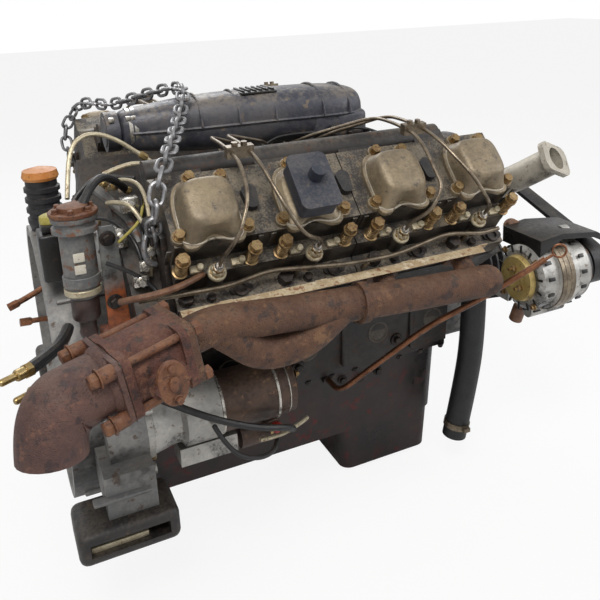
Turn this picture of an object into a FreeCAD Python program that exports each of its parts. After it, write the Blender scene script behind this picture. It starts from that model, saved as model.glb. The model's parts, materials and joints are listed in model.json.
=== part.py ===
"""Large ninety-degree V8 truck diesel engine, as a parametric document.

Millimetres, +Z up.  The origin is where the crankshaft axis meets the rear
face of the flywheel housing, +X runs forward along the crankshaft and the
right-hand bank is on the -Y side.
"""
import FreeCAD, Part

import math
import os
import re

import Sketcher
from FreeCAD import Placement, Rotation, Vector

SIZES = {
    # cylinders and crank train
    "bore": 135, "stroke": 140, "cylinder_pitch": 170, "bank_stagger": 35,
    "deck_distance": 405,
    "main_journal": 100, "crank_pin": 92, "journal_clearance": 0.06,
    "web_thickness": 26, "web_radius": 118, "piston_length": 118, "piston_clearance": 0.3,
    "pin_width": 64, "main_width": 36, "bay_radius": 131,
    "cam_height": 168, "cam_radius": 21, "cam_lobe_radius": 29, "gear_module": 4,
    "crank_gear_teeth": 28, "gear_width": 30, "gear_backlash": 1.6,
    # crankcase
    "skirt_drop": 85, "skirt_half_width": 190, "valley_floor": 232, "valley_half_width": 92,
    "deck_inboard": 100, "bank_wall": 112,
    # heads and covers
    "head_step": 45, "seat_step": 84, "cover_plane": 136, "head_outboard": 130, "head_inboard": 96,
    "rail_half_width": 64, "head_gap": 1, "gasket": 1.4, "head_end": 64,
    "spring_length": 36, "spring_radius": 10, "leak_rise": 28.6, "leak_radius": 4, "pipe_line": 3.3,
    "cover_flange": 9, "cover_height": 50, "cover_taper": 9,
    "cover_bolt_span": 110, "cover_bolt_low": 50, "cover_bolt_high": 49,
    "cover_bolt_head": 9, "seat_clearance": 0.3,
    "plug_thickness": 13,
    # rear end
    "housing_depth": 125, "housing_radius": 276, "housing_wall": 14, "housing_bolt_circle": 530.2,
    "housing_bolt_hole": 11, "housing_bolt_count": 12, "register_radius": 255.6,
    "flywheel_radius": 228, "flywheel_thickness": 42, "ring_gear_width": 18,
    "ring_gear_teeth": 122, "flywheel_face": 28,
    # front end
    "timing_case_depth": 82, "timing_case_half_width": 186, "damper_radius": 118, "damper_width": 42,
    "pulley_radius": 92, "pulley_width": 46, "nose_radius": 32, "belt_plane": 1070, "belt_gap": 0.3,
    # sump
    "pan_depth": 190, "sump_depth": 300, "sump_rear": 545,
    "pan_half_width": 178, "pan_flange": 12,
    # exhaust
    "log_radius": 29, "log_side": 480, "log_height": 205, "port_offset": 30, "runner_radius": 24,
    "brake_bore": 45, "brake_length": 98, "brake_flange": 12, "flange_width": 112, "flange_height": 96,
    "brake_bolt": 6, "sleeve_radius": 12, "sleeve_length": 56, "pipe_radius": 49, "pipe_wall": 4,
    "elbow_bend": 92, "elbow_turn": 68, "butterfly_thickness": 5, "butterfly_clearance": 0.5,
    "spindle_radius": 7, "spindle_clearance": 0.06,
    # starter
    "starter_side": 263, "starter_drop": 40, "starter_radius": 58, "starter_length": 118,
    "pinion_radius": 22, "pinion_width": 22,
    # alternator
    "alternator_side": 380, "alternator_height": 124, "alternator_radius": 74,
    "alternator_rear": 892, "alternator_length": 138, "alternator_pulley": 38,
    # water pump and outlet
    "pump_height": 190, "pump_pulley": 88, "pump_radius": 62, "outlet_radius": 30,
    # intake
    "hose_radius": 28, "link_bar": 6.5, "link_length": 41.8, "link_width": 29,
    "duct_radius": 62, "duct_height": 450, "duct_front": 712, "inlet_log_radius": 26,
    "pump_length": 230,
}

doc = FreeCAD.newDocument("v8_engine")
sheet = doc.addObject("Spreadsheet::Sheet", "Sizes")
for row, (alias, number) in enumerate(SIZES.items(), start=1):
    sheet.set(f"A{row}", alias)
    sheet.set(f"B{row}", str(number))
    sheet.setAlias(f"B{row}", alias)
doc.recompute()

NODES = {}
ORIGIN = Vector(0, 0, 0)
AXIS_X, AXIS_Y, AXIS_Z = Vector(1, 0, 0), Vector(0, 1, 0), Vector(0, 0, 1)


def size(name):
    """A driving dimension, read back from the sheet."""
    return float(sheet.get(name))


def bound(text):
    """Turns plain size names in a formula into references to the sheet."""
    return re.sub(r"[a-z_]{3,}", lambda found: f"Sizes.{found.group()}" if found.group() in SIZES else found.group(), str(text))


def value(text):
    """The number that a formula on the sheet's sizes gives."""
    return float(sheet.evalExpression(bound(text)))


def keep(label, item):
    """Names an object as one of the engine's sub-parts."""
    item.Label = label
    NODES[label] = item
    return item


def feature(label, shape, placement=None):
    """A sub-part whose shape comes from Part's own functions."""
    item = doc.addObject("Part::Feature", label)
    item.Shape = shape
    if placement is not None:
        item.Placement = placement
    return item


def turn_to(direction):
    """The rotation that takes +Z to a direction."""
    return Rotation(AXIS_Z, direction)


# Two banks: local x along the crankshaft, local y across the bank towards the
# valley, local z out along the cylinder.  The left bank is the right one turned
# half a turn about the vertical.
BANK_TILT = Rotation(AXIS_X, 45)
FIRST_CYLINDER = size("housing_depth") + size("bank_stagger") + size("cylinder_pitch") / 2
TURN_CENTRE = FIRST_CYLINDER + 1.5 * size("cylinder_pitch") - size("bank_stagger") / 2
RIGHT = Placement(ORIGIN, BANK_TILT)
LEFT = Placement(Vector(2 * TURN_CENTRE, 0, 0), Rotation(AXIS_Z, 180)).multiply(RIGHT)
CYLINDERS = [FIRST_CYLINDER + number * size("cylinder_pitch") for number in range(4)]
HEADS = [CYLINDERS[0] - size("cylinder_pitch") / 2, CYLINDERS[2] - size("cylinder_pitch") / 2]


def bank_height(text="0"):
    """Local z of a height above the block deck."""
    return size("deck_distance") + size("gasket") + value(text)


# ---------------------------------------------------------------- helpers
def plane_of(body, role):
    """One of a body's own origin planes."""
    return next(item for item in body.Origin.OriginFeatures if item.Role == role)


def sketch_on(body, role, name):
    """An empty sketch on one of the body's own origin planes."""
    sketch = body.newObject("Sketcher::SketchObject", name)
    sketch.AttachmentSupport = (plane_of(body, role), [""])
    sketch.MapMode = "FlatFace"
    return sketch


def outline(body, role, name, corners):
    """A closed sketch of straight edges whose corners follow formulas on the sizes."""
    sketch = sketch_on(body, role, name)
    points = [(value(x), value(y)) for x, y in corners]
    count = len(points)
    for number in range(count):
        start, end = points[number], points[(number + 1) % count]
        sketch.addGeometry(Part.LineSegment(Vector(*start, 0), Vector(*end, 0)), False)
    for number in range(count):
        sketch.addConstraint(Sketcher.Constraint("Coincident", number, 2, (number + 1) % count, 1))
    for number, (corner, point) in enumerate(zip(corners, points)):
        for kind, axis, formula, place in zip(("DistanceX", "DistanceY"), (-2, -1), corner, point):
            if abs(place) < 1e-9:
                sketch.addConstraint(Sketcher.Constraint("PointOnObject", number, 1, axis))
                continue
            index = sketch.addConstraint(Sketcher.Constraint(kind, -1, 1, number, 1, place))
            sketch.setExpression(f"Constraints[{index}]", bound(formula))
    return sketch


def new_body(name):
    """An empty PartDesign body."""
    return doc.addObject("PartDesign::Body", name)


def pad(body, sketch, length, taper="0"):
    """Pads a sketch along its normal."""
    item = body.newObject("PartDesign::Pad", "pad")
    item.Profile = sketch
    item.setExpression("Length", bound(length))
    if value(taper):
        item.setExpression("TaperAngle", "-" + bound(taper))
    doc.recompute()
    return item


def pocket(body, sketch, length, reverse=False):
    """Cuts a sketch into the body, and makes sure that it took material away."""
    before = body.Shape.Volume
    item = body.newObject("PartDesign::Pocket", "pocket")
    item.Profile = sketch
    item.Reversed = reverse
    item.setExpression("Length", bound(length))
    doc.recompute()
    if body.Shape.Volume >= before:
        raise ValueError(f"{body.Name}: a pocket cut nothing")
    return item


def turned(label, profile, placement=None):
    """A turned body: profile corners are (radius, height) formulas, spun about local Z."""
    body = new_body(label)
    sketch = outline(body, "XZ_Plane", label + "_profile", profile)
    item = body.newObject("PartDesign::Revolution", "revolution")
    item.Profile = sketch
    item.ReferenceAxis = (sketch, ["V_Axis"])
    item.Angle = 360
    if placement is not None:
        body.Placement = placement
    doc.recompute()
    return body


def box(name, length, width, height, x="0", y="0", z="0"):
    """A Part box whose sides and low corner follow formulas."""
    item = doc.addObject("Part::Box", name)
    for prop, formula in (("Length", length), ("Width", width), ("Height", height),
                          ("Placement.Base.x", x), ("Placement.Base.y", y), ("Placement.Base.z", z)):
        item.setExpression(prop, bound(formula))
    return item


def rod(name, radius, height, x="0", y="0", z="0", along=AXIS_Z):
    """A Part cylinder whose sizes and start follow formulas."""
    item = doc.addObject("Part::Cylinder", name)
    item.Placement = Placement(ORIGIN, turn_to(along))
    for prop, formula in (("Radius", radius), ("Height", height),
                          ("Placement.Base.x", x), ("Placement.Base.y", y), ("Placement.Base.z", z)):
        item.setExpression(prop, bound(formula))
    return item


def join(name, items):
    """Fuses objects into one solid."""
    item = doc.addObject("Part::MultiFuse", name)
    item.Shapes = items
    return item


def carve(name, base, tool):
    """Cuts one object out of another."""
    item = doc.addObject("Part::Cut", name)
    item.Base = base
    item.Tool = tool
    return item


def repeat(label, source, placements):
    """A group of separate copies of one shape."""
    copies = []
    for placement in placements:
        copy = source.copy()
        copy.Placement = placement.multiply(copy.Placement)
        copies.append(copy)
    return feature(label, Part.makeCompound(copies))


def cylinder(radius, height, base=ORIGIN, direction=AXIS_Z):
    """A plain cylinder shape."""
    return Part.makeCylinder(radius, height, base, direction)


def path_of(points, share=0.45, radius=None):
    """Straight runs joined by tangent arcs, as one wire, with the arcs' radii."""
    edges, radii, start = [], [], points[0]
    for before, corner, after in zip(points, points[1:], points[2:]):
        into, out = (corner - before), (after - corner)
        shorter = min(into.Length, out.Length)
        into.normalize()
        out.normalize()
        half = into.getAngle(out) / 2
        reach = share * shorter
        if radius is not None:
            reach = min(reach, radius * math.tan(half))
        radii.append(reach / math.tan(half))
        first, last = corner - into * reach, corner + out * reach
        inward = (out - into)
        inward.normalize()
        middle = corner + inward * (radii[-1] / math.cos(half) - radii[-1])
        edges.append(Part.LineSegment(start, first).toShape())
        edges.append(Part.Arc(first, middle, last).toShape())
        start = last
    edges.append(Part.LineSegment(start, points[-1]).toShape())
    return Part.Wire(edges), radii


def tube(points, outer, inner=0.0, share=0.45, radius=None):
    """A round tube along straight runs and tangent arcs."""
    path, _ = path_of(points, share, radius)
    start = (points[1] - points[0]).normalize()
    ring = Part.Face(Part.Wire([Part.Circle(points[0], start, outer).toShape()]))
    if inner:
        ring = ring.cut(Part.Face(Part.Wire([Part.Circle(points[0], start, inner).toShape()])))
    return path.makePipe(ring).Solids[0]


def hexagon(across_flats, height):
    """A hexagonal prism along +Z."""
    radius = across_flats / math.sqrt(3)
    corners = [Vector(radius * math.cos(math.radians(60 * k)), radius * math.sin(math.radians(60 * k)), 0) for k in range(7)]
    return Part.Face(Part.makePolygon(corners)).extrude(Vector(0, 0, height))


def flange_bolt(across_flats, head, washer_radius, washer, shank_radius, shank):
    """A hexagon bolt with its washer, seated on z = 0, with its shank below."""
    body = cylinder(washer_radius, washer).fuse(hexagon(across_flats, head).translated(Vector(0, 0, washer)))
    if shank:
        body = body.fuse(cylinder(shank_radius, shank, Vector(0, 0, -shank)))
    return body.removeSplitter()


def gear(teeth, width, backlash, bore_radius=0.0):
    """A spur gear with straight-flanked teeth, its first tooth centred on local +X."""
    module = size("gear_module")
    pitch_radius, half = module * teeth / 2, (math.pi * module - backlash) / 4
    points = []
    for number in range(teeth):
        middle = 2 * math.pi * number / teeth
        for radius, reach in ((pitch_radius - 1.25 * module, 1.45 * half), (pitch_radius + 0.9 * module, 0.55 * half)):
            points.append((radius, middle - reach / pitch_radius))
        for radius, reach in ((pitch_radius + 0.9 * module, 0.55 * half), (pitch_radius - 1.25 * module, 1.45 * half)):
            points.append((radius, middle + reach / pitch_radius))
    corners = [Vector(r * math.cos(a), r * math.sin(a), 0) for r, a in points]
    blank = Part.Face(Part.makePolygon(corners + corners[:1])).extrude(Vector(0, 0, width))
    return blank.cut(cylinder(bore_radius, width)) if bore_radius else blank


def at_bank(x, across, out):
    """A point of the right-hand bank, in the engine's frame."""
    return RIGHT.multVec(Vector(x, across, out))


def both_banks(label, shape):
    """A group of one bank's shapes and its copy on the other bank."""
    left = shape.copy()
    left.Placement = LEFT.multiply(RIGHT.inverse()).multiply(left.Placement)
    return feature(label, Part.makeCompound([shape, left]))


DECK = bank_height()
STEP = bank_height("head_step")
SEAT = bank_height("seat_step")
COVER_PLANE = bank_height("cover_plane")
SEATED = size("seat_clearance")
ROOT_HALF = "0.70710678"
TENSION_BOLTS = [(-54, -81), (63, -82)]
INJECTOR_PLACE = (2.5, -94)
HEAD_BOLTS = [(-48, -114), (-8, -120)]
COVER_BOLTS = [(-55, -50), (55, -51), (-15, 50), (36, 45)]
PORT_COVER = (44, -115)


# ---------------------------------------------------------------- crankcase
def make_crankcase():
    """The V casting: two banks of bores over four crank bays, open at the bottom."""
    body = new_body("crankcase_casting")
    half = [("skirt_half_width", "-skirt_drop"), ("skirt_half_width + 10", "30"),
            (f"(250 + bank_wall) * {ROOT_HALF}", f"(250 - bank_wall) * {ROOT_HALF}"),
            (f"(deck_distance + head_outboard + 3) * {ROOT_HALF}", f"(deck_distance - head_outboard - 3) * {ROOT_HALF}"),
            (f"(deck_distance - deck_inboard) * {ROOT_HALF}", f"(deck_distance + deck_inboard) * {ROOT_HALF}"),
            ("valley_half_width", "valley_floor")]
    mirrored = [(f"-({y})", z) for y, z in reversed(half)]
    pad(body, outline(body, "YZ_Plane", "crankcase_section", half + mirrored), "4 * cylinder_pitch + bank_stagger")
    body.Placement.Base.x = size("housing_depth")
    tools = []
    bay = "cylinder_pitch - main_width"
    for number in range(4):
        start = f"housing_depth + (bank_stagger + main_width) / 2 + cylinder_pitch * {number}"
        tools.append(rod("bay", "bay_radius", bay, x=start, along=AXIS_X))
        tools.append(box("bay_mouth", bay, "2 * bay_radius", "skirt_drop + 1", x=start,
                         y="-bay_radius", z="-skirt_drop - 1"))
        for side, sign in (("right", 1), ("left", 0)):
            place = f"housing_depth + {sign} * bank_stagger + cylinder_pitch * ({number} + 0.5)"
            lean = Vector(0, -1 if sign else 1, 1)
            away = "-" if sign else ""
            tools.append(rod(f"bore_{side}", "bore / 2", "deck_distance - 95", x=place,
                             y=f"{away}100 * {ROOT_HALF}", z=f"100 * {ROOT_HALF}", along=lean))
    tools.append(rod("main_bore", "main_journal / 2 + journal_clearance", "4 * cylinder_pitch + bank_stagger + 2",
                     x="housing_depth - 1", along=AXIS_X))
    tools.append(rod("cam_tunnel", "cam_lobe_radius + 1 + journal_clearance",
                     "4 * cylinder_pitch + bank_stagger + 2", x="housing_depth - 1", z="cam_height", along=AXIS_X))
    keep("crankcase", carve("crankcase", body, join("crankcase_voids", tools)))


# ---------------------------------------------------------------- crank train
def make_crankshaft():
    """Cross-plane crankshaft: five main journals, four pins, and a gear at the front."""
    pitch, throw = size("cylinder_pitch"), size("stroke") / 2
    rear = size("housing_depth")
    first_web = rear + size("bank_stagger") / 2 + pitch / 2
    main, pin = size("main_journal") / 2, size("crank_pin") / 2
    web, half_pin = size("web_thickness"), size("pin_width") / 2
    shaft = [cylinder(main, pitch / 2 + size("bank_stagger") / 2 - half_pin - web + 37, Vector(rear - 37, 0, 0), AXIS_X)]
    for number, angle in enumerate((0, 90, 270, 180)):
        centre = first_web + number * pitch
        turn = Rotation(AXIS_X, angle)
        arm = turn.multVec(Vector(0, 0, throw))
        shaft.append(cylinder(pin, 2 * (half_pin + web), Vector(centre - half_pin - web, 0, 0) + arm, AXIS_X))
        for start in (centre - half_pin - web, centre + half_pin):
            disc = cylinder(size("web_radius"), web, Vector(start, 0, 0), AXIS_X)
            lower = Part.makeBox(web, 300, 200, Vector(start, -150, -190))
            cheek = Part.makeBox(web, 2 * 56, throw + 10, Vector(start, -56, -10))
            weight = disc.common(lower).fuse(cheek)
            weight.rotate(ORIGIN, AXIS_X, angle)
            shaft.append(weight.fuse(cylinder(54, web, Vector(start, 0, 0) + arm, AXIS_X)))
        if number < 3:
            shaft.append(cylinder(main, pitch - 2 * (half_pin + web), Vector(centre + half_pin + web, 0, 0), AXIS_X))
    front = first_web + 3 * pitch + half_pin + web
    block_front = rear + 4 * pitch + size("bank_stagger")
    shaft.append(cylinder(main, block_front + 2 - front, Vector(front, 0, 0), AXIS_X))
    nose_end = size("belt_plane") + size("pulley_width") / 2
    shaft.append(cylinder(size("nose_radius"), nose_end - block_front, Vector(block_front, 0, 0), AXIS_X))
    pinion = gear(int(size("crank_gear_teeth")), size("gear_width"), size("gear_backlash"))
    pinion.Placement = Placement(Vector(block_front + 8, 0, 0), Rotation(AXIS_Y, 90))
    shaft.append(pinion)
    keep("crankshaft", feature("crankshaft", shaft[0].multiFuse(shaft[1:]).removeSplitter()))


def make_camshaft():
    """Camshaft in the valley side of the crankcase, with its gear of twice the crank gear's teeth."""
    rear, pitch = size("housing_depth"), size("cylinder_pitch")
    length = 4 * pitch + size("bank_stagger")
    parts = [cylinder(size("cam_radius"), length + 6, Vector(rear + 4, 0, 0), AXIS_X)]
    for number in range(5):
        start = max(rear + 4, rear + size("bank_stagger") / 2 + number * pitch - 15)
        parts.append(cylinder(size("cam_lobe_radius") + 1, 26, Vector(start, 0, 0), AXIS_X))
    lobe, rise = size("cam_lobe_radius") - 9, 8.5
    for number in range(16):
        start = rear + 48 + size("bank_stagger") / 2 + (number // 4) * pitch + (number % 4) * 25
        angle = math.radians(78 * number)
        parts.append(cylinder(lobe, 18, Vector(start, rise * math.cos(angle), rise * math.sin(angle)), AXIS_X))
    teeth = 2 * int(size("crank_gear_teeth"))
    wheel = gear(teeth, size("gear_width"), size("gear_backlash"))
    wheel.Placement = Placement(Vector(rear + length + 8, 0, 0), Rotation(AXIS_Y, 90).multiply(Rotation(AXIS_Z, 180 / teeth)))
    parts.append(wheel)
    shape = parts[0].multiFuse(parts[1:]).removeSplitter()
    keep("camshaft", feature("camshaft", shape, Placement(Vector(0, 0, size("cam_height")), Rotation())))


PIN_ANGLES = (0, 90, 270, 180)
ROD_LENGTH = 255


def crown_drop(pin_angle, bank_angle):
    """How far a piston is below the top of its stroke for a crank pin's angle."""
    throw = size("stroke") / 2
    angle = math.radians(pin_angle - bank_angle)
    return throw * (1 - math.cos(angle)) + ROD_LENGTH - math.sqrt(ROD_LENGTH ** 2 - (throw * math.sin(angle)) ** 2)


def make_pistons():
    """Eight pistons with a crown bowl, a ring belt and a gudgeon pin hole, placed for the crank's angle."""
    half = "bore / 2 - piston_clearance"
    profile = [("0", "40"), ("bore / 2 - 14", "40"), ("bore / 2 - 9", "0"), (half, "0"),
               (half, "piston_length - 30"), ("bore / 2 - 4", "piston_length - 28"),
               ("bore / 2 - 4", "piston_length - 14"), (half, "piston_length - 12"), (half, "piston_length"),
               ("bore / 2 - 26", "piston_length"), ("bore / 2 - 40", "piston_length - 14"), ("0", "piston_length - 14")]
    pattern = turned("piston_pattern", profile)
    pin_hole = cylinder(21, size("bore"), Vector(-size("bore") / 2, 0, 52), AXIS_X)
    shape = pattern.Shape.cut(pin_hole)
    for side, bank, bank_angle in (("right", RIGHT, 45), ("left", LEFT, -45)):
        for number in range(4):
            throw = number if side == "right" else 3 - number
            drop = crown_drop(PIN_ANGLES[throw], bank_angle)
            base = Vector(CYLINDERS[number], 0, size("deck_distance") - 0.5 - size("piston_length") - drop)
            name = f"piston_{side}_{throw + 1}"
            keep(name, feature(name, shape, bank.multiply(Placement(base, Rotation()))))


def make_flywheel():
    """Flywheel disc with a recessed clutch face, and the starter ring gear round its rim."""
    rear = "flywheel_face"
    edge = "flywheel_face + flywheel_thickness"
    profile = [("0", f"{rear} + 14"), ("120", f"{rear} + 14"), ("128", rear), ("flywheel_radius", rear),
               ("flywheel_radius", edge), ("80", edge), ("70", "housing_depth - 37"), ("0", "housing_depth - 37")]
    disc = turned("flywheel_disc", profile, Placement(ORIGIN, Rotation(AXIS_Y, 90)))
    ring = gear(int(size("ring_gear_teeth")), size("ring_gear_width"), size("gear_backlash"), size("flywheel_radius"))
    ring.Placement = Placement(Vector(value(edge) - size("ring_gear_width"), 0, 0), Rotation(AXIS_Y, 90))
    keep("flywheel", feature("flywheel", Part.makeCompound([disc.Shape, ring])))


def make_crank_pulley():
    """Torsional damper and two-groove belt pulley on the crankshaft's nose."""
    bore = "nose_radius + 0.05"
    damper = f"housing_depth + 4 * cylinder_pitch + bank_stagger + timing_case_depth + 8"
    low, high = "belt_plane - pulley_width / 2", "belt_plane + pulley_width / 2"
    profile = [(bore, damper), ("damper_radius - 26", damper), ("damper_radius - 22", f"{damper} + 4"),
               ("damper_radius - 18", damper), ("damper_radius", damper), ("damper_radius", f"{damper} + damper_width"),
               ("58", f"{damper} + damper_width"), ("50", f"{low} - 12"), ("pulley_radius", low)]
    for number in range(2):
        start = f"{low} + 5 + {number} * (pulley_width - 5) / 2"
        profile += [("pulley_radius", start), ("pulley_radius - 13", f"{start} + 5"),
                    ("pulley_radius - 13", f"{start} + 10"), ("pulley_radius", f"{start} + 15")]
    profile += [("pulley_radius", high), ("pulley_radius - 20", high), ("52", f"{high} - 16"), (bore, f"{high} - 16")]
    keep("crank_pulley", turned("crank_pulley", profile, Placement(ORIGIN, Rotation(AXIS_Y, 90))))


# ---------------------------------------------------------------- heads, covers and what is on them
def make_heads():
    """Four head castings, two a bank, with a stepped outboard side and a boss under each injector."""
    body = new_body("head_casting")
    deck, step = "deck_distance + gasket", "deck_distance + gasket + head_step"
    seat, plane = "deck_distance + gasket + seat_step", "deck_distance + gasket + cover_plane"
    section = [("-head_outboard", deck), ("-head_outboard", step), ("-98", step), ("-92", seat),
               ("-rail_half_width - 2", seat), ("-rail_half_width", plane), ("rail_half_width", plane),
               ("rail_half_width + 16", f"{seat} + 10"), ("head_inboard + 4", f"{seat} - 10"), ("head_inboard + 4", deck)]
    end = "(cylinder_pitch / 2 - head_end)"
    pad(body, outline(body, "YZ_Plane", "head_section", section), f"2 * cylinder_pitch - {end} - head_gap")
    body.Placement.Base.x = value(end)
    bosses = [cylinder(14, SEAT - STEP, Vector(size("cylinder_pitch") * (0.5 + number) + INJECTOR_PLACE[0],
                                               INJECTOR_PLACE[1], STEP)) for number in range(2)]
    doc.recompute()
    rear = body.Shape.multiFuse(bosses).removeSplitter()
    shift = 2 * size("cylinder_pitch")
    front = body.Shape.translated(Vector(shift - value(end) + size("head_gap"), 0, 0))
    front = front.multiFuse([boss.translated(Vector(shift, 0, 0)) for boss in bosses]).removeSplitter()
    for side, bank in (("right", RIGHT), ("left", LEFT)):
        place = bank.multiply(Placement(Vector(HEADS[0], 0, 0), Rotation()))
        keep(f"cylinder_heads_{side}", feature(f"cylinder_heads_{side}", Part.makeCompound([rear, front]), place))


def make_head_gaskets():
    """A plate between block and head on each bank, open at the bores."""
    length = 4 * size("cylinder_pitch") - (size("cylinder_pitch") / 2 - size("head_end")) * 2
    start = CYLINDERS[0] - size("head_end")
    width = size("head_outboard") + size("head_inboard") + 4
    plate = Part.makeBox(length, width, size("gasket"), Vector(start, -size("head_outboard"), size("deck_distance")))
    plate = plate.cut(Part.makeCompound([cylinder(size("bore") / 2 + 1, 4, Vector(x, 0, size("deck_distance") - 1))
                                         for x in CYLINDERS]))
    keep("head_gaskets", both_banks("head_gaskets", plate.transformGeometry(RIGHT.toMatrix())))


def rounded(corners, radius, inset=0.0, height=0.0):
    """A closed wire of straight edges and tangent corner arcs, drawn in by an inset."""
    points = [Vector(x, y, 0) for x, y in corners]
    count, edges, moved = len(points), [], []
    runs = [(points[(k + 1) % count] - points[k]).normalize() for k in range(count)]
    for k in range(count):
        first, second = (Vector(-run.y, run.x, 0) for run in (runs[k - 1], runs[k]))
        moved.append(points[k] + (first + second) * (inset / (1 + first.dot(second))))
    arcs = []
    for k in range(count):
        before, after = runs[k - 1], runs[k]
        half = before.getAngle(after) / 2
        convex = before.cross(after).z > 0
        wanted = max(radius - inset, 1.5) if convex else radius + inset
        shorter = min((moved[k] - moved[k - 1]).Length, (moved[(k + 1) % count] - moved[k]).Length)
        reach = min(wanted * math.tan(half), 0.45 * shorter)
        inward = (after - before).normalize()
        middle = moved[k] + inward * (reach / math.tan(half) * (1 / math.cos(half) - 1))
        arcs.append((moved[k] - before * reach, middle, moved[k] + after * reach))
    up = Vector(0, 0, height)
    for k in range(count):
        first, middle, last = (point + up for point in arcs[k])
        edges.append(Part.Arc(first, middle, last).toShape())
        edges.append(Part.LineSegment(last, arcs[(k + 1) % count][0] + up).toShape())
    return Part.Wire(edges)


def cover_shape(height):
    """A rocker cover on z = 0: flange with bolt ears, and a domed top with a waved lower side."""
    span, low, high = size("cover_bolt_span") / 2, size("cover_bolt_low"), size("cover_bolt_high")
    corners = [(-span + 3, -low - 12), (-span + 21, -low - 24), (-4, -low - 10), (span - 25, -low - 24),
               (span - 5, -low - 10), (span - 9, 16), (30, high - 7), (-32, high - 4), (-span + 1, 8)]
    flange = Part.Face(rounded(corners, 14)).extrude(Vector(0, 0, size("cover_flange")))
    ears = [cylinder(12, size("cover_flange"), Vector(x, y, 0)) for x, y in COVER_BOLTS]
    for (x, y), ear in zip(COVER_BOLTS, list(ears)):
        arm = Part.makeBox(24, 30, size("cover_flange"), Vector(-12, 0, 0))
        arm.Placement = Placement(Vector(x, y, 0), Rotation(Vector(0, 1, 0), Vector(-x * 0.6, -y * 0.6, 0)))
        ears.append(arm)
    taper, rim = size("cover_taper"), size("cover_flange")
    sections = [(3, rim), (3 + taper * 0.45, rim + height * 0.45), (3 + taper, rim + height * 0.78),
                (3 + taper + 7, rim + height)]
    dome = Part.makeLoft([rounded(corners, 17, inset, z) for inset, z in sections], True, True)
    dome = dome.cut(Part.makeCompound([cylinder(12.5, height + 1, Vector(x, y, rim)) for x, y in COVER_BOLTS]))
    return flange.multiFuse(ears + [dome]).removeSplitter()


def make_covers():
    """Four rocker covers a bank; the second on the right is a low one that carries the breather box."""
    tall = size("cover_height") - size("cover_flange")
    plain, low = cover_shape(tall), cover_shape(tall * 0.5)
    for side, bank in (("right", RIGHT), ("left", LEFT)):
        covers = []
        for number, x in enumerate(CYLINDERS):
            shape = (low if side == "right" and number == 1 else plain).copy()
            shape.Placement = bank.multiply(Placement(Vector(x, 0, COVER_PLANE), Rotation()))
            covers.append(shape)
        keep(f"rocker_covers_{side}", feature(f"rocker_covers_{side}", Part.makeCompound(covers)))
    top = COVER_PLANE + size("cover_flange") + tall * 0.5
    corners = [(-32, -66), (32, -66), (32, 30), (-32, 30)]
    casing = Part.makeLoft([rounded(corners, 9, 0, 0), rounded(corners, 9, 2, 30)], True, True)
    lid = Part.Face(rounded(corners, 9, -3)).extrude(Vector(0, 0, 5)).translated(Vector(0, 0, 30))
    stub = cylinder(13, 24).translated(Vector(4, -12, 35))
    box_shape = casing.multiFuse([lid, stub]).removeSplitter()
    keep("breather_box", feature("breather_box", box_shape, RIGHT.multiply(
        Placement(Vector(CYLINDERS[1] - 4, 0, top), Rotation()))))


def bank_group(label, shape, places, height):
    """Copies of one fitting at (x, across) places from each cylinder of both banks."""
    spots = [bank.multiply(Placement(Vector(x + dx, dy, height), Rotation()))
             for bank in (RIGHT, LEFT) for x in CYLINDERS for dx, dy in places]
    return keep(label, repeat(label, shape, spots))


def make_head_fittings():
    """Bolts, springs, injector inlets, port covers and rubber plugs, seated on heads and covers."""
    bank_group("cover_bolts", flange_bolt(15, size("cover_bolt_head"), 10, 2.5, 0, 0), COVER_BOLTS,
               COVER_PLANE + size("cover_flange"))
    spring = size("spring_length")
    coil = cylinder(size("spring_radius"), spring).cut(cylinder(size("spring_radius") - 4, spring))
    bank_group("tension_springs", coil, TENSION_BOLTS, SEAT)
    stud = flange_bolt(17, 11, 12, 3, size("spring_radius") - 4.4, spring)
    bank_group("tension_bolts", stud, TENSION_BOLTS, SEAT + spring)
    pair = [flange_bolt(flats, head, washer, 3, 0, 0).translated(Vector(x, y, 0))
            for (flats, head, washer), (x, y) in zip(((22, 13, 13), (13, 8, 8)), HEAD_BOLTS)]
    bank_group("head_bolts", Part.makeCompound(pair), [(0, 0)], STEP)
    inlet = hexagon(22, 7).fuse(cylinder(8, 9, Vector(0, 0, 7))).fuse(hexagon(17, 8).translated(Vector(0, 0, 12)))
    inlet = inlet.cut(cylinder(size("pipe_line") + 0.05, 12, Vector(0, 0, 12)))
    bank_group("injector_inlets", inlet.removeSplitter(), [INJECTOR_PLACE], SEAT)
    cap = cylinder(13, 7).fuse(Part.Face(rounded([(-20, -7), (20, -7), (20, 7), (-20, 7)], 6.5)).extrude(Vector(0, 0, 4)))
    cap = cap.cut(cylinder(8, 5, Vector(0, 0, 3))).removeSplitter()
    bank_group("port_covers", cap, [PORT_COVER], STEP)
    plug = Part.Face(rounded([(-9, -24), (9, -24), (13, 12), (0, 22), (-13, 12)], 8))
    plug = plug.extrude(Vector(0, 0, size("plug_thickness")))
    between = [bank.multiply(Placement(Vector(x + size("cylinder_pitch") / 2 - 11, 2, COVER_PLANE), Rotation()))
               for bank in (RIGHT, LEFT) for x in CYLINDERS[:3]]
    keep("rubber_plugs", repeat("rubber_plugs", plug, between))


# ---------------------------------------------------------------- fuel system in the valley
PUMP_START = TURN_CENTRE - size("pump_length") / 2


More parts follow.
